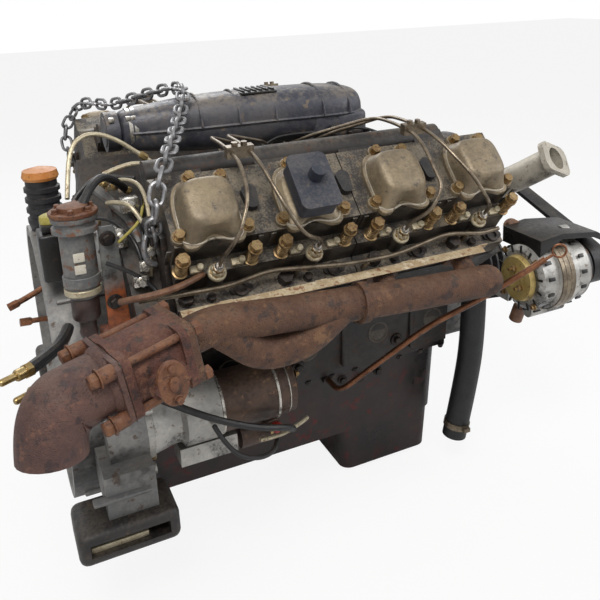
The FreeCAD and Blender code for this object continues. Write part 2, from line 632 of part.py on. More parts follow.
def make_injection_pump():
    """In-line injection pump on the valley floor, with a delivery valve for each cylinder."""
    length, floor = size("pump_length"), size("valley_floor")
    body = Part.Face(rounded([(-52, 0), (52, 0), (52, 58), (40, 88), (-40, 88), (-52, 58)], 8)).extrude(Vector(0, 0, length))
    body.Placement = Placement(Vector(PUMP_START, 0, floor), Rotation(Vector(0, 1, 0), Vector(0, 0, 1), Vector(1, 0, 0), "ZXY"))
    governor = cylinder(46, 60, Vector(PUMP_START - 60, 0, floor + 46), AXIS_X)
    valves = [cylinder(9, 22, Vector(x, y, floor + 87)) for x, y in valve_places()]
    keep("injection_pump", feature("injection_pump", body.multiFuse([governor] + valves).removeSplitter()))


def valve_places():
    """Where the pump's eight delivery valves stand: one row a bank."""
    step = size("pump_length") / 4.5
    return [(PUMP_START + step * (0.75 + number), side * 24) for side in (-1, 1) for number in range(4)]


def make_injection_pipes():
    """Steel pipes from the pump's valves over the inlet logs to each injector, with their clamp blocks."""
    radius, valve_top = size("pipe_line"), size("valley_floor") + 109
    routes = [[(59, 110, 545), (59, 40, 600), (50, -34, 612), (22, -88, 592)],
              [(89, 110, 545), (89, 40, 600), (102, -44, 604), (128, -98, 580)],
              [(393, 110, 545), (393, 40, 600), (388, -70, 606), (364, -98, 580)],
              [(423, 110, 545), (423, 40, 600), (456, -54, 606), (480, -98, 585)]]
    pieces, over = [], COVER_PLANE - 542.4
    for number, route in enumerate(routes):
        x, y = valve_places()[number]
        points = [Vector(x, y, valve_top), Vector(x, y, valve_top + 22), Vector(x, -140, 418)]
        points += [at_bank(CYLINDERS[0] + route[0][0], 165, 490 + over)]
        points += [at_bank(CYLINDERS[0] + dx, across, out + over) for dx, across, out in route]
        points += [at_bank(CYLINDERS[number] + INJECTOR_PLACE[0], INJECTOR_PLACE[1], SEAT + 50),
                   at_bank(CYLINDERS[number] + INJECTOR_PLACE[0], INJECTOR_PLACE[1], SEAT + 13)]
        pieces.append(tube(points, radius, share=0.4))
    block = Part.makeBox(46, 15, 20, Vector(-23, -7.5, -10))
    nuts = [hexagon(10, 6).translated(Vector(x, 0, 10)) for x in (-8, 8)]
    holes = [cylinder(radius + 0.05, 40, Vector(x, -20, 0), AXIS_Y) for x in (-15, 15)]
    block = block.multiFuse(nuts).cut(Part.makeCompound(holes))
    for low_pipe in (routes[0], routes[2]):
        (x, across, out), (_, across_2, out_2) = low_pipe[:2]
        middle = Vector(CYLINDERS[0] + x + 15, (across + across_2) / 2, (out + out_2) / 2 + over)
        clamp = block.copy()
        clamp.Placement = RIGHT.multiply(Placement(middle, Rotation(AXIS_Y, Vector(0, across - across_2, out - out_2))))
        pieces.append(clamp)
    keep("injection_pipes", both_banks("injection_pipes", Part.makeCompound(pieces)))


def make_leak_off_pipe():
    """Return pipe along the outboard step of each bank's heads."""
    route = [(-124, -112), (17, -117), (90, -104), (231, -122), (322, -124), (440, -103), (515, -117), (555, -114)]
    points = [at_bank(CYLINDERS[0] + dx, across, STEP + size("leak_rise")) for dx, across in route]
    posts = [cylinder(5, size("leak_rise"), Vector(CYLINDERS[0] + x, across, STEP))
             for x, across in ((140, -110.4), (268, -122.8), (484, -111.2))]
    posts = [post.transformGeometry(RIGHT.toMatrix()) for post in posts]
    pipe = tube(points, size("leak_radius"), share=0.35).multiFuse(posts)
    keep("leak_off_pipes", both_banks("leak_off_pipes", pipe))


# ---------------------------------------------------------------- intake
def make_intake():
    """Inlet log on each bank, joined by a crossover that carries the curved inlet duct."""
    start, length = CYLINDERS[0] - 60, 3 * size("cylinder_pitch") + 90
    inboard, log = size("head_inboard") + 4, size("inlet_log_radius")
    logs = []
    for bank in (RIGHT, LEFT):
        tube_shape = cylinder(log, length, Vector(start, inboard + log + 6, DECK + 36), AXIS_X)
        pads = [Part.makeBox(70, log + 8, 44, Vector(x - 35, inboard, DECK + 14)) for x in CYLINDERS]
        piece = tube_shape.multiFuse(pads)
        logs.append(piece.transformGeometry(bank.toMatrix()))
    ends = [at_bank(0, inboard + log + 6, DECK + 36).y, -at_bank(0, inboard + log + 6, DECK + 36).y]
    top = size("duct_height") - size("duct_radius")
    cross = Part.makeBox(120, ends[1] - ends[0] - 28, 33, Vector(size("duct_front") - 127, ends[0] + 14, top - 33))
    keep("intake_manifold", feature("intake_manifold", logs[0].multiFuse([logs[1], cross]).removeSplitter()))
    rings = []
    reach = size("duct_front") - 190
    low = size("duct_height")
    for share, wide, tall in ((0, 40, 40), (0.1, 46, 46), (0.3, 62, 58), (0.6, 68, 60), (0.8, 80, 58), (0.92, 78, 54),
                              (1, 56, 40)):
        corners = [(-wide, -tall), (wide, -tall), (wide, tall), (-wide, tall)]
        ring = rounded(corners, 0.8 * tall)
        ring.Placement = Placement(Vector(185 + share * reach, 4 - 4 * share, low), Rotation(AXIS_Y, AXIS_Z, AXIS_X, "ZXY"))
        rings.append(ring)
    duct = Part.makeLoft(rings, True, True)
    mouth = cylinder(30, 30, Vector(160, 4, low), AXIS_X)
    foot = Part.makeBox(130, 156, low - top, Vector(size("duct_front") - 134, -78, top))
    flange = Part.makeBox(142, 176, 12, Vector(size("duct_front") - 140, -88, top))
    keep("intake_duct", feature("intake_duct", duct.multiFuse([foot, flange, mouth]).removeSplitter()))


# ---------------------------------------------------------------- exhaust
BRAKE_AXIS = Vector(-0.956, -0.2515, -0.151).normalize()
SPINDLE_AXIS = Vector(0.254, -0.967, 0).normalize()
BRAKE = Placement(Vector(147, -518.5, 227), Rotation(SPINDLE_AXIS, Vector(), BRAKE_AXIS, "ZXY"))
BRAKE_BOLTS = [(x * 46, y * 37) for x in (-1, 1) for y in (-1, 1)]


def four_bolt_flange(bore_radius, thickness, bolt_radius):
    """A rounded flange on z = 0 with a bore and a hole near each corner."""
    wide, tall = size("flange_width") / 2, size("flange_height") / 2
    plate = Part.Face(rounded([(-wide, -tall), (wide, -tall), (wide, tall), (-wide, tall)], 14))
    plate = plate.extrude(Vector(0, 0, thickness)).cut(cylinder(bore_radius, thickness))
    return plate.cut(Part.makeCompound([cylinder(bolt_radius, thickness, Vector(x, y, 0)) for x, y in BRAKE_BOLTS]))


def log_point(x):
    """The exhaust log's axis above a point of the crankshaft."""
    return Vector(x, -size("log_side"), size("log_height") + 20 - (x - 200) * 0.078)


def manifold_piece(points, ports):
    """A stretch of exhaust log with a flanged runner to each port that it serves."""
    shape = tube(points, size("log_radius"))
    plates = []
    for number in ports:
        x = CYLINDERS[number] - size("port_offset")
        lie = RIGHT.multiply(Placement(Vector(x, -size("head_outboard"), DECK + 24), Rotation(AXIS_X, 90)))
        plate = Part.Face(rounded([(-32, -20), (32, -20), (32, 20), (-32, 20)], 9)).extrude(Vector(0, 0, 10))
        plate.Placement = lie
        start = lie.multVec(Vector(0, 0, 4))
        runner = tube([start, lie.multVec(Vector(0, 0, 42)), log_point(x)], size("runner_radius") - 5)
        plates += [plate, runner]
    return shape.multiFuse(plates)


def make_exhaust():
    """Two-piece exhaust log on each bank, joined by a slip ring; the right one feeds the exhaust brake."""
    joint = CYLINDERS[1] + 62
    inlet = BRAKE.multVec(Vector(0, 0, -10))
    rear = manifold_piece([inlet, inlet - BRAKE_AXIS * 52, log_point(CYLINDERS[1] - 60), log_point(joint)], (0, 1))
    plate = four_bolt_flange(size("log_radius") - 6, 10, size("brake_bolt") + 0.4)
    plate.Placement = BRAKE.multiply(Placement(Vector(0, 0, -10), Rotation()))
    branch = tube([inlet - BRAKE_AXIS * 60 - AXIS_Z * 8, log_point(290) + Vector(0, -5, -62),
                   log_point(365) + Vector(0, -2, -54), log_point(438)],
                  size("log_radius") - 2)
    run = (log_point(joint + 100) - log_point(joint)).normalize()
    ring = cylinder(size("log_radius") + 6, 14, log_point(joint) - run * 14, run)
    rear = rear.multiFuse([plate, branch, ring]).cut(cylinder(size("log_radius") - 6, 60, inlet, BRAKE_AXIS * -1))
    keep("exhaust_manifold_rear", feature("exhaust_manifold_rear", rear))
    end = log_point(CYLINDERS[3] - 25)
    front = manifold_piece([log_point(joint) + run * 0.3, log_point(CYLINDERS[2]), end + Vector(0, 0, 4)], (2, 3))
    dome = Part.makeSphere(size("log_radius"))
    dome.translate(end + Vector(0, 0, 4))
    keep("exhaust_manifold_front", feature("exhaust_manifold_front", front.fuse(dome)))
    plain = manifold_piece([log_point(CYLINDERS[0] - 110) + Vector(0, 0, 4), log_point(CYLINDERS[0] + 90), log_point(joint)], (0, 1))
    pieces = [plain.fuse(ring), front.fuse(dome)]
    other = LEFT.multiply(RIGHT.inverse())
    keep("exhaust_manifold_left", feature("exhaust_manifold_left", Part.makeCompound(pieces), other))
    half = size("head_outboard")
    lip = [Vector(0, -half - 1, DECK + 47), Vector(0, -half - 18, DECK + 54), Vector(0, -half - 18, DECK + 56),
           Vector(0, -half - 1, DECK + 49)]
    sheet_metal = Part.Face(Part.makePolygon(lip + lip[:1])).extrude(Vector(CYLINDERS[3] - CYLINDERS[0] + 70, 0, 0))
    tabs = [Part.makeBox(22, 2, 30, Vector(x + 4 - CYLINDERS[0] + 60, -half - 2, DECK + 20)) for x in CYLINDERS]
    shield = sheet_metal.multiFuse(tabs)
    shield.Placement = RIGHT.multiply(Placement(Vector(CYLINDERS[0] - 62, 0, 0), Rotation()))
    keep("heat_shield", both_banks("heat_shield", shield))


def make_brake():
    """Exhaust brake: a flanged body with a butterfly on a spindle, and the elbow that it blows into."""
    length, bore, rim = size("brake_length"), size("brake_bore"), size("brake_flange")
    hole = size("brake_bolt") + 0.4
    shell = cylinder(bore + 7.5, length).cut(cylinder(bore, length))
    far = four_bolt_flange(bore, rim, hole).translated(Vector(0, 0, length - rim))
    boss = cylinder(17, 2 * bore + 46, Vector(-bore - 23, 0, length / 2), AXIS_X).cut(cylinder(bore, length))
    shape = shell.multiFuse([four_bolt_flange(bore, rim, hole), far, boss])
    spindle = size("spindle_radius") + size("spindle_clearance")
    shape = shape.cut(cylinder(spindle, 2 * bore + 50, Vector(-bore - 25, 0, length / 2), AXIS_X))
    oval = Part.Face(rounded([(-30, -18), (30, -18), (30, 18), (-30, 18)], 17)).extrude(Vector(0, 0, 9))
    oval = oval.multiFuse([hexagon(13, 8).translated(Vector(x, 0, 9)) for x in (-20, 20)])
    oval = oval.fuse(cylinder(12, 14)).removeSplitter()
    oval.Placement = Placement(Vector(bore + 23.3, 0, length / 2), Rotation(AXIS_Y, 90))
    keep("brake_body", feature("brake_body", Part.makeCompound([shape, oval]), BRAKE))
    radius = bore - size("butterfly_clearance")
    disc = cylinder(radius, size("butterfly_thickness"), Vector(0, 0, -size("butterfly_thickness") / 2))
    shaft = cylinder(size("spindle_radius"), 2 * bore + 62, Vector(-bore - 39, 0, 0), AXIS_X)
    disc = disc.fuse(cylinder(size("spindle_radius") + 4, 2 * bore - 14, Vector(-bore + 7, 0, 0), AXIS_X))
    lever = Part.Face(rounded([(-9, -12), (9, -12), (7, 52), (-7, 52)], 6)).extrude(Vector(0, 0, 7))
    lever.Placement = Placement(Vector(-bore - 40, 0, 0), Rotation(AXIS_Y, 90))
    middle = BRAKE.multiply(Placement(Vector(0, 0, length / 2), Rotation(AXIS_X, 90)))
    keep("brake_butterfly", feature("brake_butterfly", disc.multiFuse([shaft, lever]).removeSplitter(), middle))
    bolts = []
    for x, y in BRAKE_BOLTS:
        shank = cylinder(size("brake_bolt"), length + size("sleeve_length") + 30, Vector(0, 0, -22))
        head = hexagon(19, 12).translated(Vector(0, 0, length + size("sleeve_length") + 8))
        nut = hexagon(19, 11).translated(Vector(0, 0, -21))
        sleeve = cylinder(size("sleeve_radius") - 2, size("sleeve_length"), Vector(0, 0, length + 8))
        bolts.append(shank.multiFuse([head, nut, sleeve]).removeSplitter().translated(Vector(x, y, 0)))
    keep("brake_bolts", feature("brake_bolts", Part.makeCompound(bolts), BRAKE))
    outer, bend, neck = size("pipe_radius") - 3, size("elbow_bend"), 50
    turn = math.radians(size("elbow_turn"))
    start = Vector(0, 0, length)
    corner = start + Vector(0, 0, neck + bend * math.tan(turn / 2))
    end = corner + Vector(0, -math.sin(turn), math.cos(turn)) * (bend * math.tan(turn / 2) + 40)
    bent = tube([start, corner, end], outer, outer - size("pipe_wall"), share=0.9, radius=bend)
    plate = four_bolt_flange(outer - size("pipe_wall"), 8, hole).translated(start)
    elbow = bent.fuse(plate)
    elbow.Placement = BRAKE
    cut = Part.makeBox(600, 600, 400, Vector(-400, -850, 140 - 400))
    keep("exhaust_elbow", feature("exhaust_elbow", elbow.cut(cut)))


# ---------------------------------------------------------------- rear end
def make_flywheel_housing():
    """Bell housing with the gearbox's bolt circle and register, the starter's boss and pads for the feet."""
    depth, wall, outside = size("housing_depth"), size("housing_wall"), size("housing_radius")
    profile = [("register_radius", "0"), ("housing_radius", "0"), ("housing_radius", "housing_depth"),
               ("95", "housing_depth"), ("95", "housing_depth - housing_wall"),
               ("register_radius", "housing_depth - housing_wall")]
    bell = turned("housing_bell", profile, Placement(ORIGIN, Rotation(AXIS_Y, 90)))
    centre = Vector(0, -size("starter_side"), -size("starter_drop"))
    boss = cylinder(72, depth - 58, centre + Vector(58, 0, 0), AXIS_X)
    pads = [Part.makeBox(84, 130, 80, Vector(depth - 85, y, -140 + 0.3)) for y in (-370, 240)]
    webs = [Part.makeBox(12, 60, 150, Vector(depth - 20, y, -120)) for y in (-315, 255)]
    shape = bell.Shape.multiFuse([boss] + pads + webs)
    shape = shape.cut(cylinder(size("register_radius"), depth - wall, ORIGIN, AXIS_X))
    shape = shape.cut(cylinder(62, wall + 1, centre + Vector(depth - wall, 0, 0), AXIS_X))
    shape = shape.cut(cylinder(36, depth, centre + Vector(64, 0, 0), AXIS_X))
    holes = []
    for number in range(int(size("housing_bolt_count"))):
        angle = math.radians(360 / size("housing_bolt_count") * (number + 0.5))
        around = Vector(-1, math.cos(angle) * size("housing_bolt_circle") / 2, math.sin(angle) * size("housing_bolt_circle") / 2)
        holes.append(cylinder(size("housing_bolt_hole") / 2, 31, around, AXIS_X))
    keep("flywheel_housing", feature("flywheel_housing", shape.cut(Part.makeCompound(holes)).removeSplitter()))
    side = Part.Face(rounded([(-285, -240), (-395, -240), (-395, -180), (-350, -140), (-285, -140)][::-1], 12))
    foot = side.extrude(Vector(0, 0, 170))
    foot.Placement = Placement(Vector(-16, 0, 0), Rotation(AXIS_Y, AXIS_Z, AXIS_X, "ZXY"))
    foot = foot.cut(Part.makeBox(110, 30, 40, Vector(14, -400, -228)))
    foot = foot.cut(cylinder(9, 60, Vector(60, -310, -245), AXIS_Z))
    foot = foot.cut(cylinder(9, 60, Vector(120, -310, -245), AXIS_Z))
    other = foot.mirror(ORIGIN, AXIS_Y)
    keep("engine_feet", feature("engine_feet", Part.makeCompound([foot, other])))


def make_starter():
    """Starter motor: nose casting and gear case, motor with end cap and solenoid, and its pinion."""
    centre = Placement(Vector(0, -size("starter_side"), -size("starter_drop")), Rotation(AXIS_Y, 90))
    front, rear = "starter_radius", "housing_depth"
    profile = [("9.06", f"{rear} - 12"), ("61.7", f"{rear} - 12"), ("61.7", rear), ("66", rear), ("66", f"{rear} + 12"),
               ("60", f"{rear} + 14"), ("52", f"{rear} + 52"), ("52", f"{rear} + 64"), ("63", f"{rear} + 72"),
               ("63", f"{rear} + 137"), ("0", f"{rear} + 137"), ("0", f"{rear} + 30"), ("9.06", f"{rear} + 30")]
    nose = turned("starter_nose", profile, centre)
    ears = [cylinder(11, 12, Vector(size("housing_depth"), -size("starter_side") + y, -size("starter_drop") + z), AXIS_X)
            for y, z in ((-58, 58), (50, 68), (-40, -72))]
    cradle = Part.makeBox(110, 56, 37, Vector(size("housing_depth") + 60, -size("starter_side") - 28,
                                             -size("starter_drop") - 98))
    housing = nose.Shape.multiFuse(ears + [cradle]).removeSplitter()
    keep("starter_housing", feature("starter_housing", housing))
    motor = [("0", f"{rear} + 137"), (front, f"{rear} + 137"), (front, f"{rear} + 137 + starter_length"),
             (f"{front} - 4", f"{rear} + 139 + starter_length"), (f"{front} - 4", f"{rear} + 170 + starter_length"),
             (f"{front} - 20", f"{rear} + 178 + starter_length"), ("0", f"{rear} + 178 + starter_length")]
    body = turned("motor_body", motor, centre)
    x = size("housing_depth") + 180.3
    low = Vector(x, -size("starter_side"), -size("starter_drop") - 85)
    solenoid = cylinder(26, 58, low, AXIS_X).fuse(cylinder(7, 26, low + Vector(58, 0, 10), AXIS_X))
    saddle = Part.makeBox(40, 30, 30, low + Vector(6, -15, 14))
    keep("starter_motor", feature("starter_motor", body.Shape.multiFuse([solenoid, saddle]).removeSplitter()))
    pinion = gear(int(2 * size("pinion_radius") / size("gear_module")), size("pinion_width"), size("gear_backlash"))
    pinion = pinion.multiFuse([cylinder(15, 14, Vector(0, 0, size("pinion_width"))), cylinder(9, 62)])
    keep("starter_pinion", feature("starter_pinion", pinion.removeSplitter(),
                                   centre.multiply(Placement(Vector(0, 0, size("housing_depth") - 50), Rotation()))))


# ---------------------------------------------------------------- front end
def make_timing_case():
    """Hollow gear case across the front of the block."""
    front, depth = size("housing_depth") + 4 * size("cylinder_pitch") + size("bank_stagger"), size("timing_case_depth")
    half, low = size("timing_case_half_width"), size("skirt_drop")
    corners = [(-half, -low), (half, -low), (half, 105), (148, 228), (82, 300), (-82, 300), (-148, 228), (-half, 105)]
    lie = Placement(Vector(front, 0, 0), Rotation(AXIS_Y, AXIS_Z, AXIS_X, "ZXY"))
    outer = Part.Face(rounded(corners, 16)).extrude(Vector(0, 0, depth))
    inner = Part.Face(rounded(corners, 16, 10)).extrude(Vector(0, 0, depth - 10))
    shape = outer.cut(inner).cut(cylinder(size("nose_radius") + 1, depth + 2))
    ribs = [Part.makeBox(8, 70, 6, Vector(x - 4, -60, depth)) for x in (-140, -100, 100, 140)]
    seal = cylinder(52, 6, Vector(0, 0, depth)).cut(cylinder(size("nose_radius") + 1, depth + 8))
    shape = shape.multiFuse(ribs + [seal])
    shape.Placement = lie
    spigot = cylinder(size("hose_radius") + 4, 24, Vector(874, -250, 63.2))
    reach = Part.makeBox(52, 250 - half + 12, 24, Vector(842, -250, 63.2))
    keep("timing_case", feature("timing_case", shape.multiFuse([spigot, reach]).removeSplitter()))


def make_sump():
    """Two-level oil pan with its flange, open at the top."""
    rear, front = size("housing_depth") + 2, size("housing_depth") + 4 * size("cylinder_pitch") + size("bank_stagger") - 2
    top, half = -size("skirt_drop"), size("pan_half_width")
    flange = Part.makeBox(front - rear, 2 * (half + 10), size("pan_flange"), Vector(rear, -half - 10, top - size("pan_flange")))

    def level(x0, x1, wide, z, inset):
        corners = [(x0 + inset, -wide + inset), (x1 - inset, -wide + inset), (x1 - inset, wide - inset), (x0 + inset, wide - inset)]
        return rounded(corners, 26 - inset / 2, 0, z)

    def pan(inset):
        deep, shallow = top - size("sump_depth") + inset, top - size("pan_depth") + inset
        start = top - size("pan_flange")
        long_part = Part.makeLoft([level(rear + 8, front - 10, half - 4, start, inset),
                                   level(rear + 30, front - 10, half - 26, shallow, inset)], True, True)
        deep_part = Part.makeLoft([level(size("sump_rear"), front - 10, half - 10, start, inset),
                                   level(size("sump_rear") + 44, front - 20, half - 36, deep, inset)], True, True)
        return long_part.fuse(deep_part)

    outer, inner = pan(0), pan(5)
    mouth = Part.makeBox(front - rear - 40, 2 * half - 30, size("pan_flange") + 1, Vector(rear + 20, -half + 15, top - size("pan_flange")))
    boss = cylinder(12, 18, Vector(540, -half - 6, top - 27), AXIS_Y).cut(cylinder(5, 40, Vector(540, -half - 8, top - 27), AXIS_Y))
    plug = hexagon(27, 10).translated(Vector(700, 0, top - size("sump_depth") - 10))
    shape = flange.fuse(outer).cut(inner).cut(mouth).multiFuse([boss.cut(inner), plug])
    keep("sump", feature("sump", shape.removeSplitter()))


def belt_loop(circles, grow):
    """The outline that a tight belt takes round circles given counter-clockwise as (y, z, radius)."""
    count, tangents = len(circles), []
    for number in range(count):
        (y1, z1, r1), (y2, z2, r2) = circles[number], circles[(number + 1) % count]
        first, second = Vector(y1, z1, 0), Vector(y2, z2, 0)
        run = second - first
        lean = (r1 - r2) / run.Length
        run.normalize()
        normal = run * lean + Vector(run.y, -run.x, 0) * math.sqrt(1 - lean * lean)
        tangents.append((first + normal * (r1 + grow), second + normal * (r2 + grow), normal))
    edges = []
    for number in range(count):
        start, end, normal = tangents[number]
        after = tangents[(number + 1) % count]
        y, z, radius = circles[(number + 1) % count]
        half = (normal + after[2]).normalize()
        edges.append(Part.LineSegment(start, end).toShape())
        edges.append(Part.Arc(end, Vector(y, z, 0) + half * (radius + grow), after[0]).toShape())
    return Part.Wire(edges)


def make_belt_drive():
    """Water pump with its pulley, alternator with its rotor, and the belt round all three pulleys."""
    face = size("housing_depth") + 4 * size("cylinder_pitch") + size("bank_stagger") + size("timing_case_depth")
    plane, wide = size("belt_plane"), size("pulley_width")
    pump_at = Placement(Vector(0, 0, size("pump_height")), Rotation(AXIS_Y, 90))
    fit = size("journal_clearance")
    body = [("12", f"{face + 20}"), ("12", f"{face + 84}"), ("30", f"{face + 84}"), ("34", f"{face + 66}"),
            ("pump_radius", f"{face + 46}"), ("pump_radius", f"{face}"), ("0", f"{face}"), ("0", f"{face + 20}")]
    body = [(r if r != "12" else f"12 + {fit}", x) for r, x in body]
    keep("water_pump", turned("water_pump", body, pump_at))
    rim, low, high = "pump_pulley", f"belt_plane - pulley_width / 2", "belt_plane + pulley_width / 2"
    wheel = [("0", f"{face + 20.5}"), ("12", f"{face + 20.5}"), ("12", f"{face + 84.5}"), ("28", f"{face + 84.5}"),
             ("28", "belt_plane - 6"), (f"{rim} - 20", "belt_plane - 6"), (f"{rim} - 20", low), (rim, low),
             (rim, f"{low} + 6"), (f"{rim} - 13", f"{low} + 11"), (f"{rim} - 13", f"{low} + 15"), (rim, "belt_plane"),
             (f"{rim} - 13", f"{high} - 15"), (f"{rim} - 13", f"{high} - 11"), (rim, f"{high} - 6"), (rim, high),
             (f"{rim} - 20", high), (f"{rim} - 20", "belt_plane + 2"), ("0", "belt_plane + 2")]
    keep("water_pump_pulley", turned("water_pump_pulley", wheel, pump_at))
    charge_at = Placement(Vector(0, -size("alternator_side"), size("alternator_height")), Rotation(AXIS_Y, 90))
    rear, end = "alternator_rear", "alternator_rear + alternator_length"
    radius = "alternator_radius"
    case = [("0", rear), (f"{radius} - 16", rear), (f"{radius} - 6", f"{rear} + 8"), (f"{radius} - 6", f"{rear} + 44"),
            (radius, f"{rear} + 46"), (radius, f"{rear} + 92"), (f"{radius} - 6", f"{rear} + 94"),
            (f"{radius} - 6", f"{end} - 10"), (f"{radius} - 14", end), (f"9 + {fit}", end), (f"9 + {fit}", f"{end} - 12"),
            (f"{radius} - 18", f"{end} - 12"), (f"{radius} - 18", f"{rear} + 14"), (f"9 + {fit}", f"{rear} + 14"),
            (f"9 + {fit}", f"{rear} + 6"), ("0", f"{rear} + 6")]
    shell = turned("alternator_case", case, charge_at)
    inboard = size("timing_case_half_width")
    arm = Part.makeBox(12, size("alternator_side") - inboard - 55, 40, Vector(size("alternator_rear") + 16,
                       -size("alternator_side") + 55, 46))
    top_ear = cylinder(14, 18, Vector(size("alternator_rear") + 100, -size("alternator_side"), size("alternator_height") + size("alternator_radius") + 6), AXIS_X)
    bottom_ear = cylinder(14, 90, Vector(size("alternator_rear") + 22, -size("alternator_side"), size("alternator_height") - size("alternator_radius") - 6), AXIS_X)
    inside = cylinder(size("alternator_radius") - 18, size("alternator_length") - 26,
                      Vector(size("alternator_rear") + 14, -size("alternator_side"), size("alternator_height")), AXIS_X)
    lump = arm.multiFuse([top_ear, bottom_ear]).cut(inside)
    keep("alternator_body", feature("alternator_body", shell.Shape.multiFuse([lump]).removeSplitter()))
    small = "alternator_pulley"
    rotor = [("0", f"{rear} + 6.5"), ("9", f"{rear} + 6.5"), ("9", f"{rear} + 20"), (f"{radius} - 20", f"{rear} + 20"),
             (f"{radius} - 20", f"{end} - 18"), ("9", f"{end} - 18"), ("9", f"{end} + 4"), ("56", f"{end} + 4"),
             ("56", f"{end} + 8"), ("16", f"{end} + 8"), ("16", low), (small, low), (small, f"{low} + 6"),
             (f"{small} - 11", f"{low} + 11"), (f"{small} - 11", f"{low} + 15"), (small, "belt_plane"),
             (f"{small} - 11", f"{high} - 15"), (f"{small} - 11", f"{high} - 11"), (small, f"{high} - 6"), (small, high),
             ("14", high), ("14", f"{high} + 8"), ("0", f"{high} + 8")]
    keep("alternator_rotor", turned("alternator_rotor", rotor, charge_at))
    circles = [(0, 0, size("pulley_radius")), (0, size("pump_height"), size("pump_pulley")),
               (-size("alternator_side"), size("alternator_height"), size("alternator_pulley"))]
    belt = Part.Face(belt_loop(circles, 9)).cut(Part.Face(belt_loop(circles, size("belt_gap"))))
    belt = belt.extrude(Vector(0, 0, wide - 10))
    keep("drive_belt", feature("drive_belt", belt, Placement(Vector(plane - (wide - 10) / 2, 0, 0),
                                                               Rotation(AXIS_Y, AXIS_Z, AXIS_X, "ZXY"))))


def make_water_outlet():
    """Thermostat outlet from the gear case, rising forward to a bolted flange."""
    face = size("housing_depth") + 4 * size("cylinder_pitch") + size("bank_stagger") + size("timing_case_depth")
    points = [Vector(face, -104, 218), Vector(face + 44, -104, 218), Vector(face + 66, -250, 296), Vector(face + 100, -316, 342)]
    outer = size("outlet_radius")
    pipe = tube(points, outer, outer - 5)
    out = (points[-1] - points[-2]).normalize()
    plate = Part.Face(rounded([(-46, -34), (46, -34), (46, 34), (-46, 34)], 20)).extrude(Vector(0, 0, 12))
    plate = plate.cut(cylinder(outer - 5, 12))
    plate.Placement = Placement(points[-1] - out * 2, Rotation(AXIS_Z, out))
    foot = cylinder(outer + 11, 10, points[0], AXIS_X).cut(cylinder(outer - 5, 12, points[0], AXIS_X))
    keep("water_outlet", feature("water_outlet", pipe.multiFuse([plate, foot])))


# ---------------------------------------------------------------- hoses, stick, chain and the rear cluster
def make_coolant_hose():
    """Rubber coolant hose that hangs from its spigot on the gear case, with its clamp."""
    radius, wall = size("hose_radius"), 5
    points = [Vector(874, -250, 62), Vector(872, -252, -60), Vector(856, -246, -190), Vector(834, -238, -310)]
    path, radii = path_of(points)
    print("coolant hose arc radii:", [round(r) for r in radii])
    keep("coolant_hose", feature("coolant_hose", tube(points, radius, radius - wall)))
    along = (points[3] - points[2]).normalize()
    band_at = points[2] + along * 84
    band = cylinder(radius + 2.3, 14, band_at, along).cut(cylinder(radius + 0.3, 14, band_at, along))
    screw = Part.makeBox(16, 11, 10, band_at + Vector(-8, -radius - 12.5, -12))
    keep("hose_clamp", feature("hose_clamp", band.fuse(screw)))


def make_dipstick():
    """Dipstick tube from the pan's boss up past the exhaust log, and the stick with its ring handle."""
    top, half = -size("skirt_drop"), size("pan_half_width")
    points = [Vector(540, -half - 6.3, top - 27), Vector(540, -half - 58, top - 27), Vector(705, -330, 42),
              Vector(775, -405, 112), Vector(870, -464, 190)]
    keep("dipstick_tube", feature("dipstick_tube", tube(points, 6, 4.2)))
    out = (points[-1] - points[-2]).normalize()
    stick = cylinder(3, 68, points[-1] - out * 40, out).fuse(cylinder(6.5, 10, points[-1] + out * 0.3, out))
    ring = Part.makeTorus(13, 2.2, points[-1] + out * 41, Vector(0, 0, 1).cross(out).normalize())
    keep("dipstick", feature("dipstick", stick.fuse(ring).removeSplitter()))


def chain_link():
    """One link of square bar, eight-sided, lying in local XY along local X."""
    bar, long, wide = size("link_bar"), size("link_length") / 2, size("link_width") / 2

    def ring(grow):
        a, b = long + grow, wide + grow
        cut = b * 0.3
        corners = [Vector(a, -b + cut, 0), Vector(a, b - cut, 0), Vector(a - cut, b, 0), Vector(-a + cut, b, 0),
                   Vector(-a, b - cut, 0), Vector(-a, -b + cut, 0), Vector(-a + cut, -b, 0), Vector(a - cut, -b, 0)]
        return Part.Face(Part.makePolygon(corners + corners[:1]))

    return ring(0).cut(ring(-bar)).extrude(Vector(0, 0, bar)).translated(Vector(0, 0, -bar / 2))


